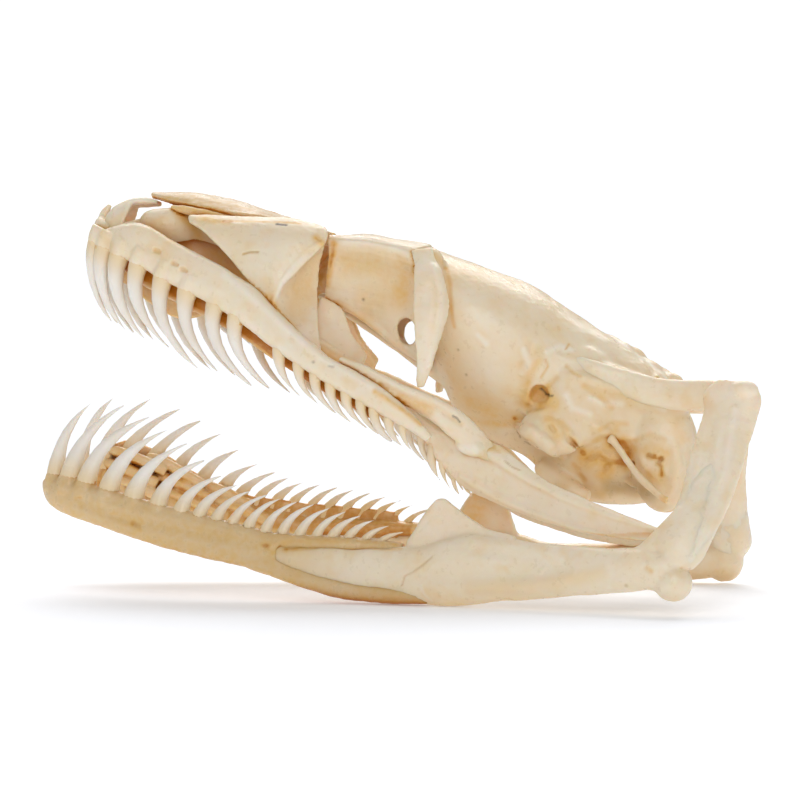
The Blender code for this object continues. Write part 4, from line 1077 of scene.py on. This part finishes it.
# For each bone: image points, half width, depth (under 0 it is raised) and the stains
JAW_MARKS = {
    "maxilla_left": (
        ([(154, 250), (157, 251)], 0.55, 0.3, {"amber": 0.5}),
        ([(159, 252)], 0.35, 0.2, {"amber": 0.5}),
        ([(172, 263), (175, 264)], 0.55, 0.3, {"amber": 0.5}),
        ([(177, 265)], 0.35, 0.2, {"amber": 0.5}),
        ([(181, 269), (184, 270)], 0.55, 0.3, {"amber": 0.5}),
        ([(186, 271)], 0.35, 0.2, {"amber": 0.5}),
        ([(150, 246), (185, 262), (215, 281)], 1.6, 0.12, {"amber": 0.1}),
        ([(112, 222), (104, 238), (112, 250)], 1.4, 0, {"amber": 0.3}),
        ([(329, 366), (333, 367)], 0.3, 0.1, {"dark": 0.3}),
        ([(313, 362)], 0.4, 0.1, {"dark": 0.4}),
        ([(225, 275), (270, 313), (320, 357), (372, 386)], 1.1, -0.12, {"pale": 0.5}),
        ([(375, 392), (400, 408), (420, 424)], 0.8, 0, {"amber": 0.8}),
    ),
    "dentary_left": (
        ([(112, 518), (128, 522), (140, 527)], 1.3, 0.12, {"amber": 0.1}),
        ([(132, 525), (139, 528)], 0.9, 0, {"amber": 0.2}),
        ([(80, 503), (130, 520), (200, 533), (262, 545)], 1.6, 0.18, {"amber": 0.15}),
        ([(266, 547), (272, 552), (280, 549)], 1.0, 0.15, {"amber": 0.25}),
        ([(262, 545), (300, 541), (350, 541), (395, 545)], 0.7, 0, {"amber": 0.2}),
        ([(60, 487), (110, 496), (170, 508), (230, 523), (300, 537)], 1.0, -0.1, {"pale": 0.25}),
    ),
    "compound_left": (
        ([(285, 549), (340, 547), (400, 549)], 0.9, 0.15, {"amber": 0.6}),
        ([(432, 557), (421, 566), (413, 572), (405, 576), (402, 585)],
         0.26, 0.12, {"dark": 0.12, "amber": 0.3}),
        ([(402, 585), (392, 594), (384, 600)], 0.24, 0.08, {"dark": 0.1, "amber": 0.3}),
        ([(421, 585), (424, 594), (432, 601)], 0.3, -0.1, {"pale": 0.6}),
        ([(470, 588), (530, 586), (600, 574)], 1.8, -0.2, {"amber": 0.25}),
        ([(440, 575), (500, 574), (560, 566)], 2.4, 0.25, {}),
        ([(438, 510), (446, 530), (470, 548), (540, 560)], 1.8, 0.2, {}),
        ([(647, 568), (651, 571)], 0.7, 0.1, {"amber": 0.6}),
        ([(626, 586)], 0.5, 0.05, {"amber": 0.5, "dark": 0.2}),
        ([(505, 568), (508, 573)], 0.6, 0, {"amber": 0.3}),
    ),
    "quadrate_left": (
        ([(696, 502), (695, 505)], 0.4, 0.06, {"dark": 0.15, "amber": 0.5}),
        ([(712, 420), (706, 470), (684, 530)], 1.4, 0.22, {}),
        ([(735, 410), (726, 470), (706, 530), (690, 560)], 1.2, -0.22, {"pale": 0.3}),
        ([(660, 560), (680, 572)], 2.0, 0, {"amber": 0.3}),
    ),
}
mark_all(JAW_MARKS)

# %% Marks on the snout and the eye socket
SNOUT_MARKS = {
    "prefrontal_left": (
        ([(243, 254), (250, 252), (258, 252)], 0.3, 0.1, {"dark": 0.25, "amber": 0.7}),
        ([(316, 238), (322, 243), (332, 248)], 1.2, 0, {"amber": 0.8}),
        ([(240, 277), (250, 288), (258, 299), (266, 309), (280, 318)], 1.0, 0, {"amber": 0.9}),
        ([(322, 249), (306, 257), (294, 268), (283, 282), (278, 296)], 0.9, -0.1, {"pale": 0.8}),
        ([(312, 262), (300, 290), (296, 310)], 4.8, 0, {"amber": 0.42}),
        ([(322, 290), (312, 312), (306, 335)], 1.6, 0, {"pale": 0.5}),
        ([(329, 252), (328, 266), (326, 285)], 1.0, 0.1, {"amber": 0.7}),
        ([(290, 325), (297, 340), (316, 354)], 1.2, 0, {"amber": 0.6}),
        ([(225, 221), (260, 222), (300, 224)], 0.6, 0, {"amber": 0.7}),
        ([(277, 224), (286, 225)], 0.4, 0, {"dark": 0.95}),
        ([(200, 218), (215, 221), (228, 222)], 1.2, 0, {"amber": 0.7}),
        ([(268, 300), (276, 312), (292, 326)], 1.6, 0, {"amber": 0.6}),
    ),
    "nasal_left": (
        ([(170, 197), (230, 208), (300, 222)], 3.2, 0, {"amber": 0.3}),
        ([(196, 209), (214, 212), (230, 216)], 0.8, 0, {"amber": 0.9}),
    ),
    "frontal_left": (
        ([(350, 262), (380, 262), (395, 290), (370, 300)], 4.6, 0.1, {"amber": 0.4}),
        ([(404, 262), (408, 280), (402, 300)], 2.6, 0, {"amber": 0.4}),
        ([(345, 241), (372, 241), (398, 248), (410, 255)], 1.3, -0.1, {"pale": 0.8}),
        ([(338, 303), (358, 317), (378, 333), (392, 350)], 1.2, 0, {"amber": 0.45}),
        ([(363, 300)], 0.4, 0.1, {"dark": 0.6}),
        ([(334, 244), (331, 262), (327, 285)], 1.0, 0, {"amber": 0.8}),
    ),
    "postorbital_left": (
        ([(433, 266), (442, 290), (440, 320), (428, 365)], 0.9, -0.22, {"pale": 0.4}),
        ([(425, 290), (424, 330), (420, 370)], 1.8, 0.2, {"pale": 0.3}),
    ),
    "palatine_left": (
        ([(322, 350), (340, 360), (352, 366)], 1.3, 0, {"amber": 0.8}),
        ([(350, 364), (356, 367)], 0.7, 0, {"amber": 0.9, "dark": 0.2}),
        ([(335, 320), (350, 345)], 2.2, 0.2, {"pale": 0.3}),
    ),
    "ectopterygoid_left": (
        ([(372, 385), (400, 398), (430, 412)], 1.2, 0, {"amber": 0.7}),
        ([(420, 418), (432, 428)], 1.4, 0, {"amber": 0.8}),
        ([(448, 446), (460, 448), (476, 450)], 1.1, -0.1, {"pale": 0.5}),
        ([(453, 416), (457, 418), (460, 422)], 0.24, 0, {"dark": 0.7}),
        ([(380, 384), (410, 397), (440, 410), (462, 424)], 0.8, 0.15, {"amber": 0.35}),
    ),
    "pterygoid_left": (
        ([(478, 462), (510, 482), (545, 500)], 2.0, 0.3, {}),
        ([(505, 461), (512, 467), (520, 470)], 0.22, 0.05, {"dark": 0.25, "amber": 0.5}),
    ),
    "vomer_left": (
        ([(180, 214), (190, 222), (200, 240)], 1.6, 0, {"amber": 0.7}),
        ([(150, 214), (165, 212), (176, 216)], 1.4, 0, {"pale": 0.5}),
    ),
    "septomaxilla_left": (
        ([(118, 210), (135, 203), (150, 200)], 1.6, 0, {"pale": 0.5}),
    ),
}
mark_all(SNOUT_MARKS)

# %% Marks on the braincase
BRAINCASE_MARKS = {
    "braincase": (
        ([(446, 268), (450, 284), (451, 306), (454, 327)], 0.55, 0.06, {"amber": 0.55}),
        ([(436, 255), (446, 268)], 0.8, 0, {"amber": 0.4}),
        ([(440, 335), (446, 365), (462, 395), (490, 410)], 4.6, 0.15, {"amber": 0.42}),
        ([(470, 405), (500, 418), (516, 420)], 2.4, 0, {"amber": 0.22}),
        ([(515, 418)], 0.8, 0, {"amber": 0.9}),
        ([(424, 388), (440, 404), (466, 420)], 1.8, 0, {"amber": 0.7}),
        ([(466, 418), (490, 424), (512, 424), (530, 440)], 1.2, 0, {"amber": 0.45}),
        ([(522, 366), (524, 385), (518, 404)], 1.3, 0.25, {"amber": 0.3}),
        ([(528, 404), (536, 393), (548, 392), (552, 403), (540, 406)], 2.2, 0, {"amber": 0.85}),
        ([(540, 360), (532, 372), (526, 392)], 1.0, 0, {"amber": 0.5}),
        # Painted shade: a black line stands for the shaded gap of a crack.
        ([(541, 389), (546, 394), (552, 396)], 0.35, 0.1, {"both": False, "dark": 0.95}),
        ([(548, 420), (557, 436)], 1.7, 0, {"amber": 0.7}),
        ([(561, 422), (570, 436), (582, 452)], 1.1, 0, {"amber": 0.6}),
        ([(586, 452), (606, 466), (636, 470)], 4.0, 0, {"amber": 0.25}),
        ([(566, 366), (574, 373), (580, 376)], 0.5, 0.15, {"amber": 0.6}),
        ([(546, 360), (548, 366), (541, 378)], 0.35, 0.15, {"amber": 0.6}),
        ([(612, 444), (622, 442), (630, 450), (626, 462)], 2.3, 0, {"amber": 0.9}),
        ([(596, 440), (606, 436), (616, 430)], 1.0, 0, {"amber": 0.6}),
        ([(585, 462), (598, 456), (610, 462), (604, 474)], 2.4, 0.2, {"amber": 0.65}),
        # Painted shade: the underside of the occiput is made darker.
        ([(612, 486), (630, 488), (648, 492)], 2.6, 0, {"dark": 0.25, "amber": 0.3}),
        ([(640, 448), (652, 444), (668, 452)], 1.6, 0, {"amber": 0.4}),
        ([(517, 431), (520, 438)], 0.22, 0, {"dark": 0.5, "amber": 0.4}),
        ([(524, 442), (530, 445)], 0.2, 0, {"dark": 0.4, "amber": 0.4}),
        ([(633, 463)], 0.7, 0, {"dark": 0.5, "amber": 0.8}),
        ([(649, 456), (654, 457)], 0.9, 0, {"dark": 0.12, "amber": 1.0}),
        ([(661, 459), (658, 463)], 0.9, 0, {"dark": 0.15, "amber": 1.0}),
        ([(646, 452), (664, 454), (666, 462)], 1.4, 0, {"amber": 0.4}),
        ([(661, 466), (662, 475)], 0.7, 0, {"dark": 0.1, "amber": 1.0}),
        ([(650, 475), (660, 480)], 1.6, 0.25, {"amber": 0.5}),
        ([(566, 349), (569, 344)], 0.3, 0.1, {"both": False, "amber": 0.7, "dark": 0.05}),
        # Painted highlight: a small raised ridge made pale where a glint falls on the dome.
        ([(478, 336), (486, 344)], 0.9, -0.12, {"pale": 0.6}),
        ([(548, 352), (560, 346), (572, 350)], 0.9, -0.12, {"pale": 0.6}),
        ([(524, 350), (528, 362), (522, 374)], 0.9, -0.12, {"pale": 0.6}),
        ([(590, 398), (604, 404), (622, 404)], 0.9, -0.12, {"pale": 0.6}),
        ([(566, 396), (572, 408), (590, 414)], 0.9, -0.12, {"pale": 0.6}),
        ([(650, 402), (664, 410)], 0.9, -0.12, {"pale": 0.6}),
        ([(556, 378), (548, 386)], 0.8, 0.12, {"amber": 0.45}),
        ([(584, 386), (600, 396), (612, 408)], 0.8, 0.12, {"amber": 0.45}),
        ([(560, 456), (574, 466), (584, 480)], 0.8, 0.12, {"amber": 0.45}),
        ([(600, 430), (612, 424), (626, 424)], 0.8, 0.12, {"amber": 0.45}),
        ([(636, 440), (650, 434), (664, 440)], 0.8, 0.12, {"amber": 0.45}),
        ([(458, 350)], 0.4, 0.1, {"both": False, "dark": 0.35, "amber": 0.3}),
        ([(466, 375)], 0.4, 0.1, {"both": False, "dark": 0.35, "amber": 0.3}),
        # Painted highlight: a broad pale patch on the near side of the dome.
        ([(470, 300), (500, 330), (490, 370)], 5.0, 0, {"both": False, "pale": 0.35}),
        # Painted shade: the underside of the braincase is made darker.
        ([(520, 472), (560, 488), (600, 494), (640, 490)], 2.2, 0, {"amber": 0.3, "dark": 0.1}),
        ([(610, 338), (628, 347), (648, 362), (668, 380)], 0.9, 0, {"pale": 0.6}),
    ),
}
mark_all(BRAINCASE_MARKS, both=True)

# %% [markdown]
# Sides that look inward keep more amber than sides cleaned from outside, and undersides more
# than tops; this is partly dried tissue and partly painted shade. Some tops get amber and dark as painted
# shade. That needs no tracing: the direction of the surface tells.

# %% Amber and painted shade by direction
INNER_AMBER_AND_SHADE = {
    "maxilla_left": 0.85, "dentary_left": 0.7, "palatine_left": 0.35, "prefrontal_left": 0.55,
    "nasal_left": 0.4, "vomer_left": 0.5, "compound_left": 0.2, "compound_right": 0.2,
    "dentary_right": 0.25,
}
UNDER_AMBER_AND_SHADE = {
    "dentary_left": 0.4, "dentary_right": 0.35, "braincase": 0.15, "palatine_left": 0.3,
    "pterygoid_left": 0.25, "frontal_left": 0.2, "nasal_left": 0.5,
}
WHOLE = {"dentary_left": 0.56, "dentary_right": 0.2, "vomer_left": 0.1, "nasal_left": 0.15}
WHOLE_DARK = 0.24
# Tops get amber and dark as painted shade, so they look less lit.
TOP_AMBER_AND_SHADE = {
    "nasal_left": (0.5, 0.24), "frontal_left": (0.25, 0.16), "septomaxilla_left": (0.0, 0.05),
    "prefrontal_left": (0.15, 0.06),
}
for name, amount in WHOLE.items():
    bone_only = 1.0 - bones[name]["tooth"]
    soak(bones[name], "amber", amount * bone_only)
    bones[name]["dark"] += WHOLE_DARK * amount * bone_only
# Painted shade: tops are made darker.
for name, (amber, dark) in TOP_AMBER_AND_SHADE.items():
    up = np.clip(facing(bones[name])[:, 2], 0.0, 1.0)
    soak(bones[name], "amber", amber * up)
    soak(bones[name], "dark", dark * up)
# Inward sides: amber of dried tissue and painted shade.
for name, amount in INNER_AMBER_AND_SHADE.items():
    inward = np.clip(facing(bones[name])[:, 1] * 1.2, 0.0, 1.0)
    inward *= 1.0 - 0.9 * bones[name]["tooth"]
    soak(bones[name], "amber", inward * amount)
# Undersides: amber of dried tissue and painted shade.
for name, amount in UNDER_AMBER_AND_SHADE.items():
    down = np.clip(-facing(bones[name])[:, 2], 0.0, 1.0)
    down *= 1.0 - bones[name]["tooth"]
    soak(bones[name], "amber", down * amount)
# Painted shade: the front of the far coronoid, seen from inside, is stained amber for its shading.
fin = bones["compound_right"]
soak(fin, "amber", 0.6 * closeness(fin["co"], [(7.0, -17.0, 10.0), (9.4, -17.0, 16.0)], 3.6))
stapes = bones["stapes_left"]
stapes["amber"] = closeness(stapes["co"], [(43.4, -12.5, 15.9)], 1.6)
print("bones stained by direction", len({*INNER_AMBER_AND_SHADE, *UNDER_AMBER_AND_SHADE, *WHOLE, *TOP_AMBER_AND_SHADE}))

# %% [markdown]
# ## The other side
#
# The right bones are mirror images of the left ones, apart from their place. Three have a
# shape of their own: the right quadrate was drawn where it stands, and the two bones of
# the right lower jaw were drawn on the left, so they are turned over like the rest.
# Mirroring turns a shape inside out, so the faces are flipped back.


# %% Mirror, place and join bone with teeth
def mirrored(mesh):
    copy = mesh.copy()
    copy.transform(Matrix.Scale(-1.0, 4, (0, 1, 0)))
    copy.flip_normals()
    return copy


for name in [n for n in bones if n.endswith("_left")]:
    other = name.replace("_left", "_right")
    if other in bones:
        continue
    bone = bones[name]
    facing(bone)
    bones[other] = dict(bone, mesh=mirrored(bone["mesh"]), co=bone["co"] * (1, -1, 1))
for name in ("compound_right", "dentary_right"):
    bone = bones[name]
    facing(bone)
    bone["mesh"] = mirrored(bone["mesh"])
    bone["co"] = bone["co"] * (1, -1, 1)
for name, bone in bones.items():
    put = place_of(name, 1 if name.endswith("_right") else -1)
    bone["co"] = put(bone["co"])
    bone["co"][:, 2] = np.maximum(bone["co"][:, 2], FLOOR_LINE)
# The front tip of the left compound bone is as tan as the fork that holds it.
held = bones["compound_left"]
tip = np.clip((-2.0 - held["co"][:, 0]) / 14.0, 0.0, 1.0)
soak(held, "amber", 0.4 * tip)
soak(held, "dark", 0.09 * tip)
# Painted shade: the right pterygoid, in the shadow of the jaws, is made darker.
bones["pterygoid_right"]["dark"] = bones["pterygoid_right"]["dark"] + 0.12
print("bones", len(bones))

# %% [markdown]
# ## Sutures
#
# Where two bones meet, glue and dried tissue leave a thin amber line. Every point looks
# for the nearest point of another bone and is stained if that is under a millimetre off.

# %% Stain the sutures
SEAM_REACH = 0.7
SEAM_STAIN = {
    "postorbital": 0.05, "supratemporal": 0.05, "braincase": 0.2, "quadrate": 0.04,
    "compound": 0.05, "dentary": 0.05, "ectopterygoid": 0.35, "prefrontal": 0.5,
    "stapes": 0.1, "septomaxilla": 0.15,
}
PLAIN_SEAM = 0.5
GRID = 4096
# Only cells of space that hold points of two bones are searched.
names = sorted(bones)
owners = np.concatenate([np.full(len(bones[n]["co"]), i) for i, n in enumerate(names)])
everything = np.concatenate([bones[n]["co"] for n in names])
cells = np.floor(everything / SEAM_REACH).astype(np.int64)
keys = (cells[:, 0] * GRID + cells[:, 1]) * GRID + cells[:, 2]
order = np.argsort(keys, kind="stable")
first = np.concatenate(([True], keys[order][1:] != keys[order][:-1]))
starts = np.flatnonzero(first)
low_owner = np.minimum.reduceat(owners[order], starts)
high_owner = np.maximum.reduceat(owners[order], starts)
shared = np.isin(keys, keys[order][starts[low_owner != high_owner]])
seam_points = np.flatnonzero(shared)
tree = KDTree(len(seam_points))
for i in seam_points:
    tree.insert(everything[i], int(i))
tree.balance()
offset = 0
for i, name in enumerate(names):
    bone = bones[name]
    stem = name.rsplit("_", 1)[0]
    stain = SEAM_STAIN.get(stem, PLAIN_SEAM)
    same = {k for k, other in enumerate(names) if other.rsplit("_", 1)[0] == stem}
    count = len(bone["co"])
    for k in range(count):
        if not shared[offset + k]:
            continue
        point = bone["co"][k]
        found = [d for _, j, d in tree.find_range(point, SEAM_REACH) if owners[j] not in same]
        if found:
            strength = 1.0 - min(found) / SEAM_REACH
            bone["amber"][k] = min(1.0, bone["amber"][k] + stain * strength)
    offset += count
print("points near a suture", len(seam_points))

# %% [markdown]
# ## Bone and tooth finishes
#
# Dried bone is waxy: light enters, scatters and comes out warmer, so thin plates glow.
# The finish mixes cream and tan in broad clouds, adds fine grain, then lets the painted
# stains take over. Folds that little light reaches get more amber and rust: partly stain, partly painted
# shade.


# %% Small helpers for building a finish
def add_node(tree, kind, **settings):
    node = tree.nodes.new(kind)
    for key, value in settings.items():
        target = node.inputs.get(key.replace("_", " "))
        if target is None:
            setattr(node, key, value)
        elif isinstance(value, bpy.types.NodeSocket):
            tree.links.new(value, target)
        else:
            target.default_value = value
    return node


def blend_colour(tree, factor, below, above):
    node = tree.nodes.new("ShaderNodeMix")
    node.data_type = "RGBA"
    for socket, value in ((node.inputs[0], factor), (node.inputs[6], below), (node.inputs[7], above)):
        if isinstance(value, bpy.types.NodeSocket):
            tree.links.new(value, socket)
        elif socket == node.inputs[0]:
            socket.default_value = value
        else:
            socket.default_value = (*value, 1.0)
    return node.outputs[2]


def arithmetic(tree, how, a, b):
    node = tree.nodes.new("ShaderNodeMath")
    node.operation = how
    node.use_clamp = how in ("ADD", "SUBTRACT")
    for socket, value in zip(node.inputs, (a, b)):
        if isinstance(value, bpy.types.NodeSocket):
            tree.links.new(value, socket)
        else:
            socket.default_value = value
    return node.outputs[0]


def times(tree, a, b):
    return arithmetic(tree, "MULTIPLY", a, b)


def plus(tree, a, b):
    return arithmetic(tree, "ADD", a, b)


def speckle(tree, spot, scale, detail, low, high):
    cloud = add_node(tree, "ShaderNodeTexNoise", Vector=spot, Scale=scale, Detail=detail)
    span = add_node(tree, "ShaderNodeMapRange", Value=cloud.outputs[0], From_Min=low, From_Max=high)
    return span.outputs[0]


# %% Colours and shares
CREAM = (0.86, 0.76, 0.60)
TAN = (0.83, 0.66, 0.42)
AMBER = (0.79, 0.48, 0.11)
RUST = (0.52, 0.18, 0.008)
# Dark: the colour of dirt, and of painted shade.
DIRT_AND_SHADE = (0.045, 0.022, 0.012)
# Pale: the colour of bleached and worn bone, and of painted highlight.
PALE_BLEACH_AND_HIGHLIGHT = (0.90, 0.85, 0.76)
# How much of its colour each pattern or stain brings in at most
WORN_SHARE, STREAK_SHARE, CLOUD_SHARE, PALE_SHARE = 0.22, 0.16, 0.35, 0.8
AMBER_EVEN, AMBER_MOTTLED, HOLLOW_SHADE_SHARE = 0.55, 0.6, 0.36
# Rust shows in stained hollows, as stain and as painted shade, and where amber passes a limit.
RUST_SHARE, RUST_FROM, RUST_MOST, RUST_EVEN = 1.3, 0.84, 0.7, 0.35
print("colours", CREAM, TAN, AMBER)


# %% The bone finish
def bone_finish(name, cream, tan, scatter):
    mat = bpy.data.materials.new(name)
    mat.use_nodes = True
    tree = mat.node_tree
    shader = tree.nodes["Principled BSDF"]
    spot = add_node(tree, "ShaderNodeTexCoord").outputs["Object"]
    grain = add_node(tree, "ShaderNodeMapping", Vector=spot)
    grain.inputs["Scale"].default_value = (220.0, 1500.0, 1500.0)
    clouds = speckle(tree, spot, 110.0, 3.0, 0.35, 0.68)
    mottle = speckle(tree, spot, 900.0, 4.0, 0.3, 0.75)
    streaks = add_node(tree, "ShaderNodeTexNoise", Vector=grain.outputs[0], Scale=1.0, Detail=3.0)
    streaks = streaks.outputs[0]
    stains = {s: add_node(tree, "ShaderNodeAttribute", attribute_name=s).outputs["Fac"] for s in STAINS}
    # Painted shade: folds that the ambient occlusion finds get amber, and rust where stained.
    hollow_stain_and_shade = add_node(tree, "ShaderNodeAmbientOcclusion", samples=4, Distance=0.0035).outputs["AO"]
    hollow_stain_and_shade = arithmetic(tree, "SUBTRACT", 1.0, hollow_stain_and_shade)
    color = blend_colour(tree, clouds, cream, tan)
    color = blend_colour(tree, times(tree, mottle, WORN_SHARE), color, PALE_BLEACH_AND_HIGHLIGHT)
    color = blend_colour(tree, times(tree, streaks, STREAK_SHARE), color, TAN)
    cloudy = speckle(tree, spot, 260.0, 4.0, 0.52, 0.78)
    color = blend_colour(tree, times(tree, cloudy, CLOUD_SHARE), color, AMBER)
    color = blend_colour(tree, times(tree, stains["pale"], PALE_SHARE), color, PALE_BLEACH_AND_HIGHLIGHT)
    patches = plus(tree, AMBER_EVEN, times(tree, mottle, AMBER_MOTTLED))
    soaked = plus(tree, times(tree, stains["amber"], patches), times(tree, hollow_stain_and_shade, HOLLOW_SHADE_SHARE))
    color = blend_colour(tree, soaked, color, AMBER)
    deep = times(tree, times(tree, stains["amber"], hollow_stain_and_shade), RUST_SHARE)
    thick = add_node(tree, "ShaderNodeMapRange", Value=stains["amber"],
                     From_Min=RUST_FROM, From_Max=1.0, To_Max=RUST_MOST)
    deep = plus(tree, deep, times(tree, thick.outputs[0], plus(tree, mottle, RUST_EVEN)))
    color = blend_colour(tree, deep, color, RUST)
    # The dark stain blends to this colour: dirt, and painted shade in holes and shaded places.
    color = blend_colour(tree, stains["dark"], color, DIRT_AND_SHADE)
    tree.links.new(color, shader.inputs["Base Color"])
    rough = add_node(tree, "ShaderNodeMapRange", Value=mottle, To_Min=0.24, To_Max=0.48)
    tree.links.new(rough.outputs[0], shader.inputs["Roughness"])
    pores = speckle(tree, spot, 2600.0, 2.0, 0.35, 0.6)
    height = plus(tree, times(tree, streaks, 0.5), times(tree, pores, 0.2))
    bump = add_node(tree, "ShaderNodeBump", Strength=0.35, Distance=0.00012, Height=height)
    tree.links.new(bump.outputs[0], shader.inputs["Normal"])
    shader.inputs["Subsurface Weight"].default_value = scatter
    shader.inputs["Subsurface Radius"].default_value = (1.0, 0.55, 0.28)
    shader.inputs["Subsurface Scale"].default_value = 0.0013
    return mat


# %% The tooth finish
def tooth_finish():
    mat = bpy.data.materials.new("tooth_enamel")
    mat.use_nodes = True
    tree = mat.node_tree
    shader = tree.nodes["Principled BSDF"]
    spot = add_node(tree, "ShaderNodeTexCoord").outputs["Object"]
    clouds = speckle(tree, spot, 160.0, 2.0, 0.35, 0.7)
    stains = add_node(tree, "ShaderNodeAttribute", attribute_name="amber").outputs["Fac"]
    color = blend_colour(tree, clouds, (0.88, 0.84, 0.77), (0.84, 0.77, 0.67))
    color = blend_colour(tree, stains, color, (0.82, 0.62, 0.33))
    tree.links.new(color, shader.inputs["Base Color"])
    rough = add_node(tree, "ShaderNodeMapRange", Value=clouds, To_Min=0.25, To_Max=0.38)
    tree.links.new(rough.outputs[0], shader.inputs["Roughness"])
    fine = speckle(tree, spot, 1400.0, 2.0, 0.3, 0.7)
    bump = add_node(tree, "ShaderNodeBump", Strength=0.12, Distance=0.0001, Height=fine)
    tree.links.new(bump.outputs[0], shader.inputs["Normal"])
    shader.inputs["Subsurface Weight"].default_value = 0.3
    shader.inputs["Subsurface Radius"].default_value = (1.0, 0.7, 0.45)
    shader.inputs["Subsurface Scale"].default_value = 0.0006
    return mat


FINISHES = {
    "bone_pale": bone_finish("bone_pale", CREAM, (0.85, 0.71, 0.49), 0.5),
    "bone_warm": bone_finish("bone_warm", (0.85, 0.72, 0.52), (0.80, 0.62, 0.38), 0.5),
}
ENAMEL = tooth_finish()
print("finishes", *FINISHES, ENAMEL.name)

# %% [markdown]
# ## Handing the bones over
#
# Each finished bone takes the place of its plain solid. A faint unevenness is added
# last, where the bone stands, so that left and right don't match to the last pit.


# %% Finish each bone and let it replace its solid
# Length and height of the waves in millimetres, how many of each, and their strength
WAVES = ((7.0, 0.06), (2.6, 0.018), (1.1, 0.012))
WAVES_EACH = 12
WAVE_STRENGTH = 0.4


def uneven(co, seed):
    # A sum of crossing waves, from long and high to short and low.
    dice = np.random.default_rng(seed)
    out = np.zeros(len(co))
    for length, height in WAVES:
        for _ in range(WAVES_EACH):
            way = dice.normal(size=3)
            way *= 2.0 * math.pi / (np.linalg.norm(way) * length * dice.uniform(0.7, 1.5))
            out += height * np.sin(co @ way + dice.uniform(0.0, 6.3)) * WAVE_STRENGTH
    return out


slots = {s["node"]: s["material_slot"] for s in frame["record"]["subparts"]}


def finish_bone(name, slot, seed):
    bone = bones[name]
    bone["co"] += facing(bone) * uneven(bone["co"], seed)[:, None]
    bone["co"][:, 2] = np.maximum(bone["co"][:, 2], FLOOR_LINE)
    facing(bone)
    mesh = bone["mesh"]
    mesh.name = "visible_" + name
    mesh.materials.clear()
    mesh.materials.append(FINISHES[slot])
    if bone["tooth"].any():
        mesh.materials.append(ENAMEL)
    mesh.shade_smooth()
    corners = np.zeros(len(mesh.loops), np.int32)
    starts = np.zeros(len(mesh.polygons), np.int32)
    mesh.loops.foreach_get("vertex_index", corners)
    mesh.polygons.foreach_get("loop_start", starts)
    mesh.polygons.foreach_set(
        "material_index", np.minimum.reduceat(bone["tooth"][corners], starts).astype(np.int32))
    mesh.transform(Matrix.Scale(MM, 4) @ Matrix.Translation(TO_FLOOR.tolist()))
    for stain in STAINS:
        painted = mesh.attributes.new(stain, "FLOAT", "POINT")
        painted.data.foreach_set("value", bone[stain].astype(np.float32))
    piece = bpy.data.objects.new("visible_" + name, mesh)
    bpy.context.scene.collection.objects.link(piece)
    if name in slots:
        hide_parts(name)
    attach(piece, "root")
    return len(mesh.polygons)


total = 0
for seed, name in enumerate(names):
    total += finish_bone(name, slots.get(name, "bone_warm"), seed)
print("faces in all", total)

# %% [markdown]
# ## Floor and light
#
# The skull stands on a white table in even studio light. The table and the surround
# show as plain white, yet light the bones less than that, so that they keep their
# shading. A wide lamp above and behind throws a soft shadow forward, a weaker one fills
# the front, and a small one gives the teeth their glint.

# %% The table
floor_mesh = bmesh.new()
bmesh.ops.create_grid(floor_mesh, x_segments=1, y_segments=1, size=2.0)
floor = as_object(floor_mesh, "floor")
paper = bpy.data.materials.new("paper")
paper.use_nodes = True
sheet = paper.node_tree.nodes["Principled BSDF"]
sheet.inputs["Base Color"].default_value = (0.87, 0.89, 0.94, 1.0)
sheet.inputs["Roughness"].default_value = 0.9
sheet.inputs["Specular IOR Level"].default_value = 0.2
sheet.inputs["Emission Color"].default_value = (1.0, 1.0, 1.0, 1.0)
sheet.inputs["Emission Strength"].default_value = 0.225
floor.data.materials.append(paper)
print("table", [round(d, 2) for d in floor.dimensions])

# %% The white surround
world = bpy.data.worlds.new("surround")
world.use_nodes = True
tree = world.node_tree
seen = tree.nodes["Background"]
seen.inputs["Strength"].default_value = 1.1
felt = add_node(tree, "ShaderNodeBackground", Strength=0.37)
for background in (seen, felt):
    background.inputs["Color"].default_value = (1.0, 1.0, 1.0, 1.0)
either = tree.nodes.new("ShaderNodeMixShader")
tree.links.new(tree.nodes.new("ShaderNodeLightPath").outputs["Is Camera Ray"], either.inputs[0])
tree.links.new(felt.outputs[0], either.inputs[1])
tree.links.new(seen.outputs[0], either.inputs[2])
tree.links.new(either.outputs[0], tree.nodes["World Output"].inputs["Surface"])
bpy.context.scene.world = world
bpy.context.scene.view_settings.view_transform = "Standard"
print("surround seen at", seen.inputs["Strength"].default_value)


# %% Lamps
def add_lamp(name, kind, place, aim, power, **shape):
    light = bpy.data.lights.new(name, kind)
    light.energy = power
    for key, value in shape.items():
        setattr(light, key, value)
    lamp = bpy.data.objects.new(name, light)
    lamp.location = place
    lamp.rotation_euler = (Vector(aim) - Vector(place)).to_track_quat("-Z", "Y").to_euler()
    bpy.context.scene.collection.objects.link(lamp)


add_lamp("wide_lamp", "SUN", (-0.1, 0.66, 0.8), (0.0, 0.0, 0.0), 2.1, angle=math.radians(54.0))
add_lamp("front_lamp", "AREA", (0.2, -0.8, 0.4), (0.0, 0.0, 0.03), 1.8, shape="SQUARE", size=0.45)
add_lamp("glint_lamp", "AREA", (0.05, -0.55, 0.75), (0.0, 0.0, 0.03), 0.3, shape="SQUARE", size=0.07)
print("lamps set")
